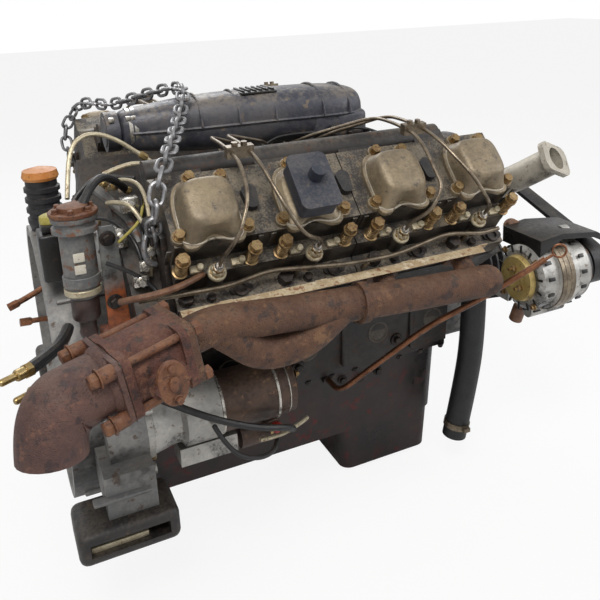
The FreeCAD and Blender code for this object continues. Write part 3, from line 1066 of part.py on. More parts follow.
def make_lifting_chain():
    """Lifting eyes on the rear faces of the heads, and the slack chain from one to the other."""
    link = chain_link()
    route = [Vector(166.5, -356, 330), Vector(163, -386, 372), Vector(178, -380, 432), Vector(211, -318, 462),
             Vector(250, -212, 474), Vector(286, -116, 490), Vector(316, -30, 519), Vector(316, 40, 519),
             Vector(280, 130, 500), Vector(220, 240, 470), Vector(168, 336, 462), Vector(130, 381, 402),
             Vector(128, 366, 350), Vector(131, 356, 330)]
    curve = Part.BSplineCurve()
    curve.interpolate(route)
    path = curve.toShape()
    pitch = size("link_length") - 2 * size("link_bar") - 0.9
    count = 2 * int(path.Length / pitch / 2) + 1
    spots = path.discretize(count * 2 + 1)
    links, lines = [], []
    for number in range(count):
        start, middle, end = spots[2 * number], spots[2 * number + 1], spots[2 * number + 2]
        along = (end - start).normalize()
        lines.append(along)
        lie = Rotation(along, AXIS_X, Vector(), "XYZ").multiply(Rotation(AXIS_X, 90 + 90 * (number % 2)))
        links.append(Placement(middle, lie))
    pin = 5
    reach = size("link_length") / 2 - size("link_bar") - pin - 0.1
    pins = [links[0].Base - lines[0] * reach, links[-1].Base + lines[-1] * reach]
    eyes = []
    for x, side, place in ((CYLINDERS[0] - size("head_end"), -1, pins[0]),
                           (2 * TURN_CENTRE - CYLINDERS[3] - size("head_end"), 1, pins[1])):
        corners = [(side * 402, 208), (side * 362, 208), (side * 334, 314), (side * 344, 348), (side * 376, 340)]
        corners = corners if side < 0 else corners[::-1]
        plate = Part.Face(rounded(corners, 9)).extrude(Vector(0, 0, 10))
        plate.Placement = Placement(Vector(x - 10, 0, 0), Rotation(AXIS_Y, AXIS_Z, AXIS_X, "ZXY"))
        bolt = hexagon(19, 11)
        bolt.Placement = Placement(Vector(x - 10, side * 380, 226), Rotation(AXIS_Z, Vector(-1, 0, 0)))
        shank = cylinder(pin, 12, Vector(x - 21, place.y, place.z), AXIS_X)
        cap = cylinder(pin + 7, 6, Vector(x - 26, place.y, place.z), AXIS_X)
        eyes.append(plate.multiFuse([bolt, shank, cap]))
    chain = repeat("chain_links", link, links)
    keep("lifting_chain", feature("lifting_chain", Part.makeCompound(chain.Shape.Solids + eyes)))


def make_rear_cluster():
    """Oil filler on the housing, and the filter canister on its plate bracket."""
    base = math.sqrt(size("housing_radius") ** 2 - 28 ** 2)
    ribs = []
    for number in range(4):
        low = base + 18 + 20 * number
        ribs += [(33, low), (33, low + 8), (29, low + 10), (29, low + 18)]
    neck = [("18", f"{base}"), ("28", f"{base}")] + [(f"{r}", f"{z}") for r, z in ribs]
    top = base + 100
    neck += [("29", f"{top}"), ("18", f"{top}")]
    neck = turned("neck_turning", neck, Placement(Vector(34, 0, 0), Rotation()))
    seat = cylinder(size("housing_radius"), 200, Vector(-50, 0, 0), AXIS_X)
    keep("filler_neck", feature("filler_neck", neck.Shape.cut(seat)))
    cap = [("0", f"{top} + 0.3"), ("31", f"{top} + 0.3"), ("34", f"{top} + 6"), ("31", f"{top} + 18"), ("12", f"{top} + 23"),
           ("0", f"{top} + 23")]
    keep("filler_cap", turned("filler_cap", cap, Placement(Vector(34, 0, 0), Rotation())))
    profile = [("0", "240"), ("20", "240"), ("27", "248"), ("27", "352"), ("36", "354"), ("36", "362"), ("31", "364"),
                ("31", "370"), ("36", "372"), ("36", "380"), ("0", "380")]
    body = turned("canister", profile, Placement(Vector(56, -300, 0), Rotation()))
    boot = cylinder(21, 40, Vector(56, -300, 200)).fuse(cylinder(14, 30, Vector(56, -300, 172)))
    canister = body.Shape.fuse(boot).removeSplitter()
    plate = Part.Face(rounded([(90, 352), (86, 150), (124, 150), (113, 352)], 8)).extrude(Vector(0, 0, 6))
    plate.Placement = Placement(Vector(0, -306, 0), Rotation(AXIS_X, 90))
    band = cylinder(32, 18, Vector(56, -300, 262)).cut(cylinder(27.3, 18, Vector(56, -300, 262)))
    strip = Part.makeBox(26, 6, 18, Vector(84, -306, 262))
    foot = Part.makeBox(40, 60, 12, Vector(78, -310, 150))
    pad = Part.makeBox(40, 44, 158 - 40, Vector(78, -294, 40))
    bolts = [hexagon(17, 9), hexagon(17, 9)]
    for z, bolt in zip((335, 225), bolts):
        bolt.Placement = Placement(Vector(101, -312, z), Rotation(AXIS_Z, Vector(0, -1, 0)))
    round_housing = cylinder(size("housing_radius") + 0.3, 200, Vector(0, 0, 0), AXIS_X)
    bracket = plate.multiFuse([band, strip, foot, pad] + bolts)
    bracket = bracket.cut(round_housing).removeSplitter()
    keep("fuel_filter", feature("fuel_filter", Part.makeCompound([canister, bracket])))


make_crankcase()
make_crankshaft()
make_camshaft()
make_pistons()
make_flywheel()
make_crank_pulley()
make_heads()
make_head_gaskets()
make_covers()
make_head_fittings()
make_injection_pump()
make_injection_pipes()
make_leak_off_pipe()
make_intake()
make_exhaust()
make_brake()
make_flywheel_housing()
make_starter()
make_timing_case()
make_sump()
make_belt_drive()
make_water_outlet()
make_coolant_hose()
make_dipstick()
make_lifting_chain()
make_rear_cluster()

doc.recompute()
failed = [item.Name for item in doc.Objects if "Invalid" in item.State or "Error" in item.State]
if failed:
    raise ValueError(f"these objects failed: {failed}")
bad = [label for label, item in NODES.items()
       if item.Shape.isNull() or not item.Shape.isValid() or not item.Shape.Solids]
if bad:
    raise ValueError(f"no valid solid in: {bad}")
os.makedirs("parts", exist_ok=True)
for label, item in NODES.items():
    item.Shape.exportStep(f"parts/{label}.step")
print(len(NODES), "sub-parts written")
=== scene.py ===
"""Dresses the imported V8 diesel engine: camera, lights, finishes and the fine pieces of the scene."""

import json
import logging
import math
from dataclasses import dataclass, field
from enum import Enum
from typing import Callable, Iterable, Sequence, Union

import bpy
from mathutils import Matrix, Vector

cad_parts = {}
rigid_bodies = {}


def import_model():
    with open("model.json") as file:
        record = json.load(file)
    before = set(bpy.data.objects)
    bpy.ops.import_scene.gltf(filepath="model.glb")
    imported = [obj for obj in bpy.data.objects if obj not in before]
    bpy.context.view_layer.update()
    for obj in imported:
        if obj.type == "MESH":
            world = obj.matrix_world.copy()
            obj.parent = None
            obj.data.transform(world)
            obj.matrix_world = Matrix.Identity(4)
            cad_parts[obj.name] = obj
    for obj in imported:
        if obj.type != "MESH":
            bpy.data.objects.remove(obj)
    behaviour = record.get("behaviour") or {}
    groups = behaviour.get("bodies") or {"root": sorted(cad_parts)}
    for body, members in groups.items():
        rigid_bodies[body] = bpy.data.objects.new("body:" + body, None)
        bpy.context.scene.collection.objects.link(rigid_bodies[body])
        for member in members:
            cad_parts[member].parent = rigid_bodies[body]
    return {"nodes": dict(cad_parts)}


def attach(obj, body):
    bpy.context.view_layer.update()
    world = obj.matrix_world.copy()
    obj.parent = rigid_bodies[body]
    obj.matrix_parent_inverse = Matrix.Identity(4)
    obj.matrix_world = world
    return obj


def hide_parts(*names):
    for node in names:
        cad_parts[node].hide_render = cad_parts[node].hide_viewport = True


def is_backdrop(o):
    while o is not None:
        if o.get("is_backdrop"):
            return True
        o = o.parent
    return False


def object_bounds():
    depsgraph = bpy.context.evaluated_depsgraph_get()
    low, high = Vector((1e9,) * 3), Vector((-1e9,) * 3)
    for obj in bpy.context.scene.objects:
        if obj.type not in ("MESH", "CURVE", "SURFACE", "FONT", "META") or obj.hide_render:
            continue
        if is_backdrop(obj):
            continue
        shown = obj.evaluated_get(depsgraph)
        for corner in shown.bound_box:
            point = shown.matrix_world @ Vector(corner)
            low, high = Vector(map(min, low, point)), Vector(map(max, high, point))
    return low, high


LOG = logging.getLogger("engine")
Triple = tuple[float, float, float]
Number = Union[int, float]


# ---------------------------------------------------------------- shader maths
class Wire:
    """A value on its way through a node tree, with the usual operators."""

    def __init__(self, board: "Board", socket: bpy.types.NodeSocket) -> None:
        """Args: board: the tree that holds the socket; socket: the output that carries the value."""
        self.board = board
        self.socket = socket

    def math(self, operation: str, *others: Union["Wire", Number]) -> "Wire":
        """Adds one Math node.

        Args:
            operation: the Math node's operation.
            others: the values after this one, in order.
        Returns:
            The node's result.
        """
        return self.board.math(operation, self, *others)

    def __add__(self, other: Union["Wire", Number]) -> "Wire":
        """Returns the sum."""
        return self.math("ADD", other)

    __radd__ = __add__

    def __sub__(self, other: Union["Wire", Number]) -> "Wire":
        """Returns the difference."""
        return self.math("SUBTRACT", other)

    def __rsub__(self, other: Number) -> "Wire":
        """Returns a number less this value."""
        return self.board.math("SUBTRACT", other, self)

    def __mul__(self, other: Union["Wire", Number]) -> "Wire":
        """Returns the product."""
        return self.math("MULTIPLY", other)

    __rmul__ = __mul__

    def __gt__(self, other: Union["Wire", Number]) -> "Wire":
        """Returns 1 where this value is the greater."""
        return self.math("GREATER_THAN", other)

    def clamp(self) -> "Wire":
        """Returns the value held between 0 and 1."""
        return (self * 1.0).clamped()

    def clamped(self) -> "Wire":
        """Turns on the clamp of the node that made this value, and returns it."""
        self.socket.node.use_clamp = True
        return self

    def step(self, low: float, high: float) -> "Wire":
        """Returns a soft step from 0 at low to 1 at high."""
        settings = {"interpolation_type": "SMOOTHSTEP"}
        values = {"Value": self, "From Min": low, "From Max": high}
        return self.board.add("ShaderNodeMapRange", settings, values)


class Board:
    """The node tree of one material, or of the world."""

    def __init__(self, name: str, world: bpy.types.World | None = None) -> None:
        """Args: name: the material's name; world: the world whose tree it is, in place of a material."""
        self.material = world or bpy.data.materials.new(name)
        self.material.use_nodes = True
        self.tree = self.material.node_tree
        self.tree.nodes.clear()
        self.place = self.add("ShaderNodeTexCoord", output="Object")
        self.normal = self.add("ShaderNodeTexCoord", output="Normal")

    def add(
        self,
        kind: str,
        settings: dict | None = None,
        values: dict | None = None,
        output: Union[str, int] = 0,
    ) -> Wire:
        """Adds any node.

        Args:
            kind: the node's type.
            settings: attributes of the node, set first.
            values: numbers, tuples or wires for its inputs, by name or place.
            output: which of its outputs is wanted.
        Returns:
            That output.
        """
        node = self.tree.nodes.new(kind)
        for name, value in (settings or {}).items():
            setattr(node, name, value)
        for name, value in (values or {}).items():
            self.feed(node.inputs[name], value)
        return Wire(self, node.outputs[output])

    def feed(self, socket: bpy.types.NodeSocket, value: object) -> None:
        """Links a wire to an input, or sets the input's own value."""
        if isinstance(value, Wire):
            self.tree.links.new(value.socket, socket)
        else:
            socket.default_value = value

    def math(self, operation: str, *values: Union[Wire, Number]) -> Wire:
        """Adds a Math node on the values, in order, and returns its result."""
        return self.add("ShaderNodeMath", {"operation": operation}, dict(enumerate(values)))

    def mix(self, share: Union[Wire, float], first: object, second: object) -> Wire:
        """Mixes two colours.

        Args:
            share: how much of the second colour shows.
            first: a colour or wire.
            second: a colour or wire.
        Returns:
            The mixed colour.
        """
        values = {0: share, 6: first, 7: second}
        return self.add("ShaderNodeMix", {"data_type": "RGBA"}, values, output=2)

    def noise(self, scale: float, detail: float = 4.0, stretch: Triple = (1.0, 1.0, 1.0),
              seed: float = 0.0) -> Wire:
        """Returns a cloud of values near a half.

        Args:
            scale: features per metre.
            detail: octaves.
            stretch: scale of the three axes.
            seed: shift of the pattern in metres.
        """
        values = {"Vector": self.place, "Location": (seed, seed * 0.7, -seed), "Scale": stretch}
        moved = self.add("ShaderNodeMapping", {}, values)
        return self.add("ShaderNodeTexNoise", {}, {"Vector": moved, "Scale": scale, "Detail": detail,
                                                   "Roughness": 0.6})

    def cells(self, scale: float, seed: float = 0.0) -> Wire:
        """Returns the distance to the nearest of many scattered points, about 0 to 1."""
        moved = self.add("ShaderNodeMapping", {}, {"Vector": self.place, "Location": (seed, seed, seed)})
        return self.add("ShaderNodeTexVoronoi", {}, {"Vector": moved, "Scale": scale})

    def axis(self, vector: Wire, name: str) -> Wire:
        """Returns one axis, X, Y or Z, of a vector."""
        return self.add("ShaderNodeSeparateXYZ", {}, {0: vector}, output=name)

    def bump(self, height: Wire, strength: float, depth: float) -> Wire:
        """Returns a normal roughened by a height pattern of the given depth in metres."""
        return self.add("ShaderNodeBump", {}, {"Height": height, "Strength": strength, "Distance": depth})

    def close(self, values: dict) -> bpy.types.Material:
        """Ends the tree in a Principled shader with these values, and returns the material."""
        shader = self.add("ShaderNodeBsdfPrincipled", {}, values)
        return self.end(shader)

    def end(self, shader: Wire, kind: str = "ShaderNodeOutputMaterial") -> bpy.types.Material:
        """Gives the shader to the surface through an output of this kind, and returns the material."""
        end = self.tree.nodes.new(kind)
        self.tree.links.new(shader.socket, end.inputs["Surface"])
        return self.material


def shade(red: int, green: int, blue: int) -> tuple[float, float, float, float]:
    """Returns a screen colour, 0 to 255, as the linear colour that the shaders want."""

    def linear(value: float) -> float:
        """Returns one channel made linear."""
        return value / 12.92 if value <= 0.04045 else ((value + 0.055) / 1.055) ** 2.4

    return (linear(red / 255), linear(green / 255), linear(blue / 255), 1.0)


@dataclass(frozen=True)
class Finish:
    """A worn surface: two tones, stains, grime mixed with painted shade that darkens the faces which point
    down, and dust that lies on top.
    """

    name: str
    base: tuple
    mottle: tuple
    stain: tuple
    # colour of the grime, also used as painted shade on faces that point down
    grime_and_shade: tuple
    dust: tuple = (120, 108, 92)
    stain_share: float = 0.3
    grime_and_shade_share: float = 0.35
    dust_share: float = 0.15
    patch: float = 18.0
    rough: tuple[float, float] = (0.45, 0.75)
    metal: float = 0.0
    grain: float = 900.0
    depth: float = 0.0006
    strength: float = 0.35

    def colour(self, board: Board) -> tuple[Wire, Wire, Wire]:
        """Returns the colour, the stain mask and the mask of grime and painted underside shade."""
        clouds = board.noise(self.patch, 6.0)
        fine = board.noise(self.patch * 9.0, 5.0, seed=3.1)
        spots = board.noise(self.patch * 3.3, 8.0, seed=7.7)
        stains = (spots + (fine - 0.5) * 0.35).step(0.68 - self.stain_share * 0.45,
                                                    0.78 - self.stain_share * 0.45)
        up = board.axis(board.normal, "Z")
        # Painted shade: the grime mask also grows on faces that point down (normal Z below zero), so
        # undersides get the dark grime colour as if in shade, on top of the noise grime.
        low = board.noise(self.patch * 0.6, 5.0, seed=1.3) + up * -0.13 + (fine - 0.5) * 0.25
        grime_and_shade = low.step(0.72 - self.grime_and_shade_share * 0.5, 0.9 - self.grime_and_shade_share * 0.5)
        dusty = (up.step(0.35, 1.0) * (clouds + fine - 0.5).step(0.35, 0.7) * self.dust_share).clamp()
        tone = board.mix((clouds + (fine - 0.5) * 0.6).step(0.3, 0.7), shade(*self.base),
                         shade(*self.mottle))
        tone = board.mix(stains * 0.85, tone, shade(*self.stain))
        tone = board.mix(grime_and_shade * 0.85, tone, shade(*self.grime_and_shade))
        return board.mix(dusty, tone, shade(*self.dust)), stains, grime_and_shade

    def make(self) -> bpy.types.Material:
        """Returns the finished material."""
        board = Board(self.name)
        colour, stains, grime_and_shade = self.colour(board)
        low, high = self.rough
        fine = board.noise(self.grain, 3.0, seed=0.4)
        rough = board.noise(self.patch * 5.0, 4.0, seed=5.0) * (high - low) * 1.6 + low - 0.1
        rough = ((rough + stains * 0.15).clamp() - grime_and_shade * 0.12).clamp()
        height = fine * 0.6 + board.noise(self.grain * 0.22, 5.0, seed=2.0) + stains * 0.25
        values = {"Base Color": colour, "Roughness": rough,
                  "Normal": board.bump(height, self.strength, self.depth)}
        if self.metal:
            bare = self.metal - stains * 0.45 * self.metal
            values["Metallic"] = (bare - grime_and_shade * 0.5 * self.metal).clamp()
        return board.close(values)


@dataclass(frozen=True)
class Rust(Finish):
    """Flaking rust: scale in layers, with pits and pale bloom."""

    bloom: tuple = (176, 132, 92)

    def make(self) -> bpy.types.Material:
        """Returns the finished material."""
        board = Board(self.name)
        colour, _, _ = self.colour(board)
        flakes = board.noise(self.patch * 5.0, 9.0, seed=9.0)
        pits = board.cells(self.patch * 22.0, seed=0.3)
        bloom = (flakes + (board.noise(self.patch * 1.2, 3.0, seed=4.4) - 0.5) * 0.8).step(0.56, 0.74)
        colour = board.mix(bloom * 0.7, colour, shade(*self.bloom))
        colour = board.mix((0.22 - pits).step(0.0, 0.2) * 0.55, colour, shade(*self.grime_and_shade))
        height = flakes * 1.4 + pits.step(0.0, 0.5) * 0.7 + board.noise(self.grain, 4.0, seed=1.0) * 0.35
        low, high = self.rough
        rough = (flakes * (high - low) * 1.5 + low - 0.1).clamp()
        values = {"Base Color": colour, "Roughness": rough,
                  "Normal": board.bump(height, self.strength, self.depth)}
        return board.close(values)


@dataclass(frozen=True)
class Heated(Finish):
    """A plate that has rusted orange where the exhaust heats it, below a given height."""

    rusted: tuple = (158, 84, 42)
    band: tuple[float, float] = (0.235, 0.275)

    def colour(self, board: Board) -> tuple[Wire, Wire, Wire]:
        """Returns the colour with its rusted foot, the stain mask and the mask of grime and painted
        underside shade.
        """
        tone, stains, grime_and_shade = super().colour(board)
        low, high = self.band
        height = board.axis(board.place, "Z") + (board.noise(40.0, 5.0, seed=2.2) - 0.5) * 0.05
        rust = board.mix(board.noise(70.0, 6.0, seed=6.1).step(0.35, 0.65), shade(*self.rusted),
                         shade(104, 58, 36))
        return board.mix(1 - height.step(low, high), tone, rust), stains, grime_and_shade


FINISHES = {finish.name: finish for finish in (
    Finish("block_paint", (27, 24, 22), (43, 37, 33), (64, 41, 28), (9, 8, 8), patch=14.0,
           stain_share=0.28, grime_and_shade_share=0.5, rough=(0.35, 0.7), dust_share=0.3),
    Finish("head_iron", (46, 42, 40), (86, 78, 68), (112, 84, 58), (15, 14, 15), patch=30.0,
           stain_share=0.2, grime_and_shade_share=0.55, rough=(0.32, 0.65), dust=(168, 156, 132), dust_share=0.5),
    Finish("gasket_steel", (70, 66, 62), (94, 88, 80), (80, 52, 36), (24, 22, 22), metal=0.4),
    Finish("cover_aluminium", (113, 101, 83), (140, 125, 100), (82, 74, 67), (48, 46, 48),
           dust=(160, 148, 128), patch=22.0, stain_share=0.22, grime_and_shade_share=0.22, rough=(0.35, 0.6),
           metal=0.35, grain=700.0, depth=0.0009, strength=0.5),
    Finish("breather_paint", (37, 41, 53), (53, 57, 67), (77, 72, 67), (16, 16, 19), patch=26.0,
           stain_share=0.15, rough=(0.35, 0.6), dust_share=0.35),
    Finish("plated_bolts", (122, 96, 62), (152, 130, 92), (78, 50, 34), (36, 28, 24), patch=60.0,
           stain_share=0.32, grime_and_shade_share=0.25, rough=(0.25, 0.5), metal=0.75, depth=0.0003),
    Finish("black_bolts", (28, 27, 28), (52, 46, 42), (92, 58, 38), (12, 12, 12), patch=70.0,
           stain_share=0.22, rough=(0.3, 0.55), metal=0.5, depth=0.0003),
    Finish("rubber", (17, 17, 19), (30, 30, 32), (52, 48, 44), (8, 8, 9), patch=40.0, stain_share=0.08,
           rough=(0.42, 0.68), dust_share=0.22, depth=0.0003, strength=0.25),
    Finish("pump_aluminium", (116, 112, 106), (146, 140, 130), (78, 62, 48), (30, 28, 28), patch=26.0,
           grime_and_shade_share=0.5, rough=(0.35, 0.6), metal=0.5),
    Finish("line_steel", (96, 86, 74), (138, 126, 108), (98, 62, 40), (34, 28, 26), patch=50.0,
           stain_share=0.2, grime_and_shade_share=0.25, rough=(0.25, 0.5), metal=0.8, depth=0.0002),
    Finish("duct_paint", (58, 60, 70), (88, 86, 88), (112, 98, 84), (26, 25, 30), patch=12.0,
           dust=(150, 138, 122), stain_share=0.2, grime_and_shade_share=0.3, dust_share=0.5, rough=(0.3, 0.6),
           metal=0.25, grain=520.0, depth=0.0010, strength=0.6),
    Rust("exhaust_iron", (76, 50, 36), (96, 65, 45), (45, 32, 28), (27, 20, 18), bloom=(126, 94, 67),
         patch=14.0, stain_share=0.32, grime_and_shade_share=0.28, dust_share=0.2, rough=(0.6, 0.9), grain=600.0,
         depth=0.0020, strength=0.8),
    Rust("shield_steel", (196, 180, 150), (172, 148, 114), (126, 76, 44), (70, 48, 36),
         bloom=(218, 206, 182), patch=24.0, stain_share=0.3, grime_and_shade_share=0.12, rough=(0.5, 0.8),
         depth=0.0006, strength=0.4),
    Rust("brake_iron", (76, 44, 35), (96, 58, 45), (45, 29, 27), (24, 18, 17), bloom=(122, 84, 64),
         patch=20.0, stain_share=0.34, grime_and_shade_share=0.25, rough=(0.6, 0.9), depth=0.0016, strength=0.8),
    Rust("brake_steel", (96, 58, 38), (117, 76, 50), (57, 34, 25), (33, 22, 19), bloom=(134, 95, 65),
         patch=40.0, rough=(0.5, 0.8), depth=0.0008, strength=0.5),
    Rust("elbow_iron", (71, 48, 44), (92, 64, 56), (46, 33, 33), (26, 20, 20), bloom=(120, 85, 69),
         patch=16.0, stain_share=0.3, grime_and_shade_share=0.2, rough=(0.5, 0.8), depth=0.0016, strength=0.7),
    Finish("housing_iron", (112, 112, 112), (146, 144, 140), (86, 68, 54), (32, 30, 30), patch=12.0,
           stain_share=0.2, grime_and_shade_share=0.45, rough=(0.4, 0.7), metal=0.3, depth=0.001),
    Finish("foot_iron", (30, 28, 28), (46, 42, 40), (82, 66, 50), (12, 11, 12), patch=20.0,
           stain_share=0.2, rough=(0.35, 0.65), dust_share=0.25, depth=0.001),
    Finish("starter_aluminium", (160, 158, 154), (190, 187, 181), (112, 100, 88), (22, 21, 22),
           patch=18.0, stain_share=0.18, grime_and_shade_share=0.42, rough=(0.25, 0.5), metal=0.45, depth=0.0009,
           strength=0.45),
    Finish("starter_paint", (62, 47, 40), (90, 70, 58), (128, 96, 70), (22, 18, 18), patch=16.0,
           stain_share=0.22, grime_and_shade_share=0.3, rough=(0.3, 0.6), metal=0.3),
    Finish("gear_steel", (106, 102, 96), (138, 132, 122), (86, 58, 40), (36, 32, 30), patch=24.0,
           rough=(0.3, 0.5), metal=0.85, depth=0.0003),
    Finish("pulley_paint", (34, 34, 37), (56, 54, 54), (98, 70, 50), (14, 14, 15), patch=20.0,
           stain_share=0.2, rough=(0.35, 0.6), metal=0.3),
    Finish("sump_paint", (32, 23, 22), (46, 30, 26), (83, 24, 21), (13, 11, 11), patch=9.0,
           stain_share=0.26, grime_and_shade_share=0.5, rough=(0.3, 0.6), dust_share=0.1, depth=0.0006),
    Finish("outlet_aluminium", (168, 161, 148), (192, 185, 171), (112, 96, 80), (52, 48, 46), patch=20.0,
           stain_share=0.2, grime_and_shade_share=0.2, rough=(0.4, 0.65), metal=0.3, depth=0.001, strength=0.5),
    Finish("tube_copper", (112, 72, 50), (140, 96, 70), (84, 56, 40), (40, 28, 24), patch=40.0,
           rough=(0.3, 0.5), metal=0.8, depth=0.0002),
    Finish("chain_steel", (118, 118, 121), (150, 150, 152), (92, 72, 56), (40, 38, 38), patch=60.0,
           stain_share=0.25, grime_and_shade_share=0.25, rough=(0.3, 0.55), metal=0.7, depth=0.0004),
    Finish("filler_plastic", (24, 24, 27), (42, 42, 46), (66, 58, 50), (12, 12, 12), patch=30.0,
           rough=(0.4, 0.65), stain_share=0.15, depth=0.0003),
    Finish("cap_plastic", (190, 116, 50), (208, 142, 76), (108, 66, 38), (64, 42, 28), patch=40.0,
           rough=(0.4, 0.6), stain_share=0.2, grime_and_shade_share=0.15, depth=0.0003),
    Finish("filter_paint", (100, 102, 104), (132, 130, 126), (120, 76, 50), (36, 32, 32), patch=20.0,
           stain_share=0.3, grime_and_shade_share=0.35, rough=(0.4, 0.65), metal=0.2),
    Finish("piston_aluminium", (168, 168, 166), (190, 190, 186), (96, 88, 80), (50, 46, 44), metal=0.8,
           rough=(0.3, 0.5), stain_share=0.15, grime_and_shade_share=0.15),
    Finish("brass", (146, 122, 76), (176, 154, 108), (92, 70, 46), (54, 42, 32), patch=60.0,
           rough=(0.25, 0.45), metal=0.8, stain_share=0.2, grime_and_shade_share=0.15, depth=0.0002),
    Finish("pale_plastic", (206, 200, 184), (222, 216, 202), (150, 132, 108), (92, 82, 70), patch=50.0,
           rough=(0.4, 0.6), stain_share=0.2, grime_and_shade_share=0.12, depth=0.0002),
    Finish("cable_black", (18, 18, 20), (32, 31, 32), (58, 50, 44), (9, 9, 10), patch=60.0,
           rough=(0.35, 0.6), stain_share=0.12, depth=0.0002),
    Finish("cable_red", (150, 34, 28), (176, 52, 40), (90, 40, 32), (50, 22, 20), patch=60.0,
           rough=(0.4, 0.6), stain_share=0.15, grime_and_shade_share=0.2, depth=0.0002),
    Finish("hose_brown", (96, 66, 48), (128, 92, 68), (62, 44, 36), (34, 26, 24), patch=60.0,
           rough=(0.45, 0.7), stain_share=0.2, depth=0.0003),
    Finish("yellow_plastic", (160, 148, 66), (184, 172, 92), (112, 98, 52), (70, 62, 40), patch=60.0,
           rough=(0.4, 0.6), stain_share=0.15, grime_and_shade_share=0.15, depth=0.0002),
    Finish("bright_steel", (176, 172, 164), (204, 200, 192), (120, 96, 72), (60, 54, 50), patch=60.0,
           rough=(0.2, 0.42), metal=0.85, stain_share=0.18, grime_and_shade_share=0.15, depth=0.0002),
    Finish("bright_cover", (168, 160, 146), (192, 184, 168), (104, 92, 78), (60, 56, 54), patch=30.0,
           rough=(0.3, 0.5), metal=0.6, stain_share=0.22, grime_and_shade_share=0.15, depth=0.0003),
    Finish("pale_metal", (176, 164, 138), (200, 190, 164), (126, 96, 66), (52, 46, 42), patch=50.0,
           rough=(0.35, 0.6), metal=0.45, stain_share=0.25, grime_and_shade_share=0.25, depth=0.0003),
    Finish("zinc_yellow", (176, 150, 88), (198, 176, 116), (112, 84, 52), (58, 48, 38), patch=40.0,
           rough=(0.35, 0.55), metal=0.55, stain_share=0.22, grime_and_shade_share=0.25, depth=0.0003),
    Finish("boot_brown", (44, 32, 30), (64, 48, 44), (92, 66, 52), (18, 14, 14), patch=40.0,
           rough=(0.4, 0.65), stain_share=0.2, depth=0.0004),
    Heated("bracket_steel", (98, 100, 100), (126, 126, 122), (80, 66, 54), (36, 33, 32), patch=26.0,
           rough=(0.45, 0.7), metal=0.2, depth=0.0006),
    Finish("tar_black", (15, 14, 14), (28, 26, 25), (52, 42, 34), (8, 8, 8), patch=24.0,
           rough=(0.25, 0.55), stain_share=0.14, depth=0.0008),
)}


@dataclass
class Finishes:
    """All the materials, made when first asked for."""

    made: dict[str, bpy.types.Material] = field(default_factory=dict)

    def get(self, name: str) -> bpy.types.Material:
        """Returns the material of this name."""
        if name not in self.made:
            self.made[name] = FINISHES[name].make()
        return self.made[name]

    def dress_nodes(self, nodes: dict[str, bpy.types.Object]) -> None:
        """Puts the finishes on the solids that stay in view, slot by slot.

        Args:
            nodes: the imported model's nodes by name.
        """
        for node in nodes.values():
            for slot in node.material_slots:
                plain = slot.material.name.split(".")[0] if slot.material else ""
                if plain in FINISHES:
                    slot.material = self.get(plain)
                else:
                    LOG.info("%s keeps %s", node.name, plain)


# ---------------------------------------------------------------- places
MM = 0.001
SLOPE = math.sqrt(0.5)
TURN_X = 0.4825


class Bank(Enum):
    """The two banks of cylinders."""

    RIGHT = "right"
    LEFT = "left"


def bank_place(bank: Bank, x: float, w: float, h: float) -> Matrix:
    """Returns the place of a point on a bank, with its Z along the cylinders and its Y up the deck.

    Args:
        bank: which bank.
        x, w, h: the point in millimetres, along the crank, across the bank and up the cylinders.
    """
    turn = Matrix(((1, 0, 0), (0, SLOPE, -SLOPE), (0, SLOPE, SLOPE))).to_4x4()
    place = Matrix.Translation(Vector((x, (w - h) * SLOPE, (w + h) * SLOPE)) * MM) @ turn
    if bank is Bank.LEFT:
        about = Matrix.Translation((TURN_X, 0, 0)) @ Matrix.Rotation(math.pi, 4, "Z")
        place = about @ Matrix.Translation((-TURN_X, 0, 0)) @ place
    return place


def aimed(at: Triple, along: Triple, spin: float = 0.0) -> Matrix:
    """Returns the place of a piece whose Z points along a direction.

    Args:
        at: its origin, millimetres.
        along: the direction.
        spin: a turn about its own Z, degrees.
    """
    turn = Vector(along).to_track_quat("Z", "Y").to_matrix().to_4x4()
    return Matrix.Translation(Vector(at) * MM) @ turn @ Matrix.Rotation(math.radians(spin), 4, "Z")


# ---------------------------------------------------------------- hand work
def only(piece: bpy.types.Object) -> bpy.types.Object:
    """Makes this the one selected and active object, and returns it."""
    for other in bpy.context.view_layer.objects:
        if other.select_get():
            other.select_set(False)
    piece.select_set(True)
    bpy.context.view_layer.objects.active = piece
    return piece


def clear() -> None:
    """Deselects everything before a new primitive."""
    bpy.ops.object.select_all(action="DESELECT")


def drum(stations: Sequence[tuple[float, float]], sides: int = 24) -> bpy.types.Object:
    """Makes a closed round body about Z from a circle, extruded and resized station by station.

    Args:
        stations: (height, radius) in millimetres, from the bottom up.
        sides: sides of the circle.
    Returns:
        The piece, at the origin.
    """
    clear()
    height, radius = stations[0]
    place = (0, 0, height * MM)
    bpy.ops.mesh.primitive_circle_add(vertices=sides, radius=radius * MM, fill_type="NGON", location=place)
    piece = bpy.context.active_object
    bpy.ops.object.mode_set(mode="EDIT")
    bpy.ops.mesh.select_all(action="SELECT")
    for (before, old), (after, new) in zip(stations, stations[1:]):
        lift = {"value": (0, 0, (after - before) * MM)}
        bpy.ops.mesh.extrude_region_move(TRANSFORM_OT_translate=lift)
        ratio = new / old
        if abs(ratio - 1) > 1e-6:
            centre = (0, 0, after * MM)
            bpy.ops.transform.resize(value=(ratio, ratio, 1), center_override=centre)
    bpy.ops.mesh.select_all(action="SELECT")
    bpy.ops.mesh.normals_make_consistent(inside=False)
    bpy.ops.object.mode_set(mode="OBJECT")
    bpy.ops.object.transform_apply(location=True, rotation=True, scale=True)
    return piece


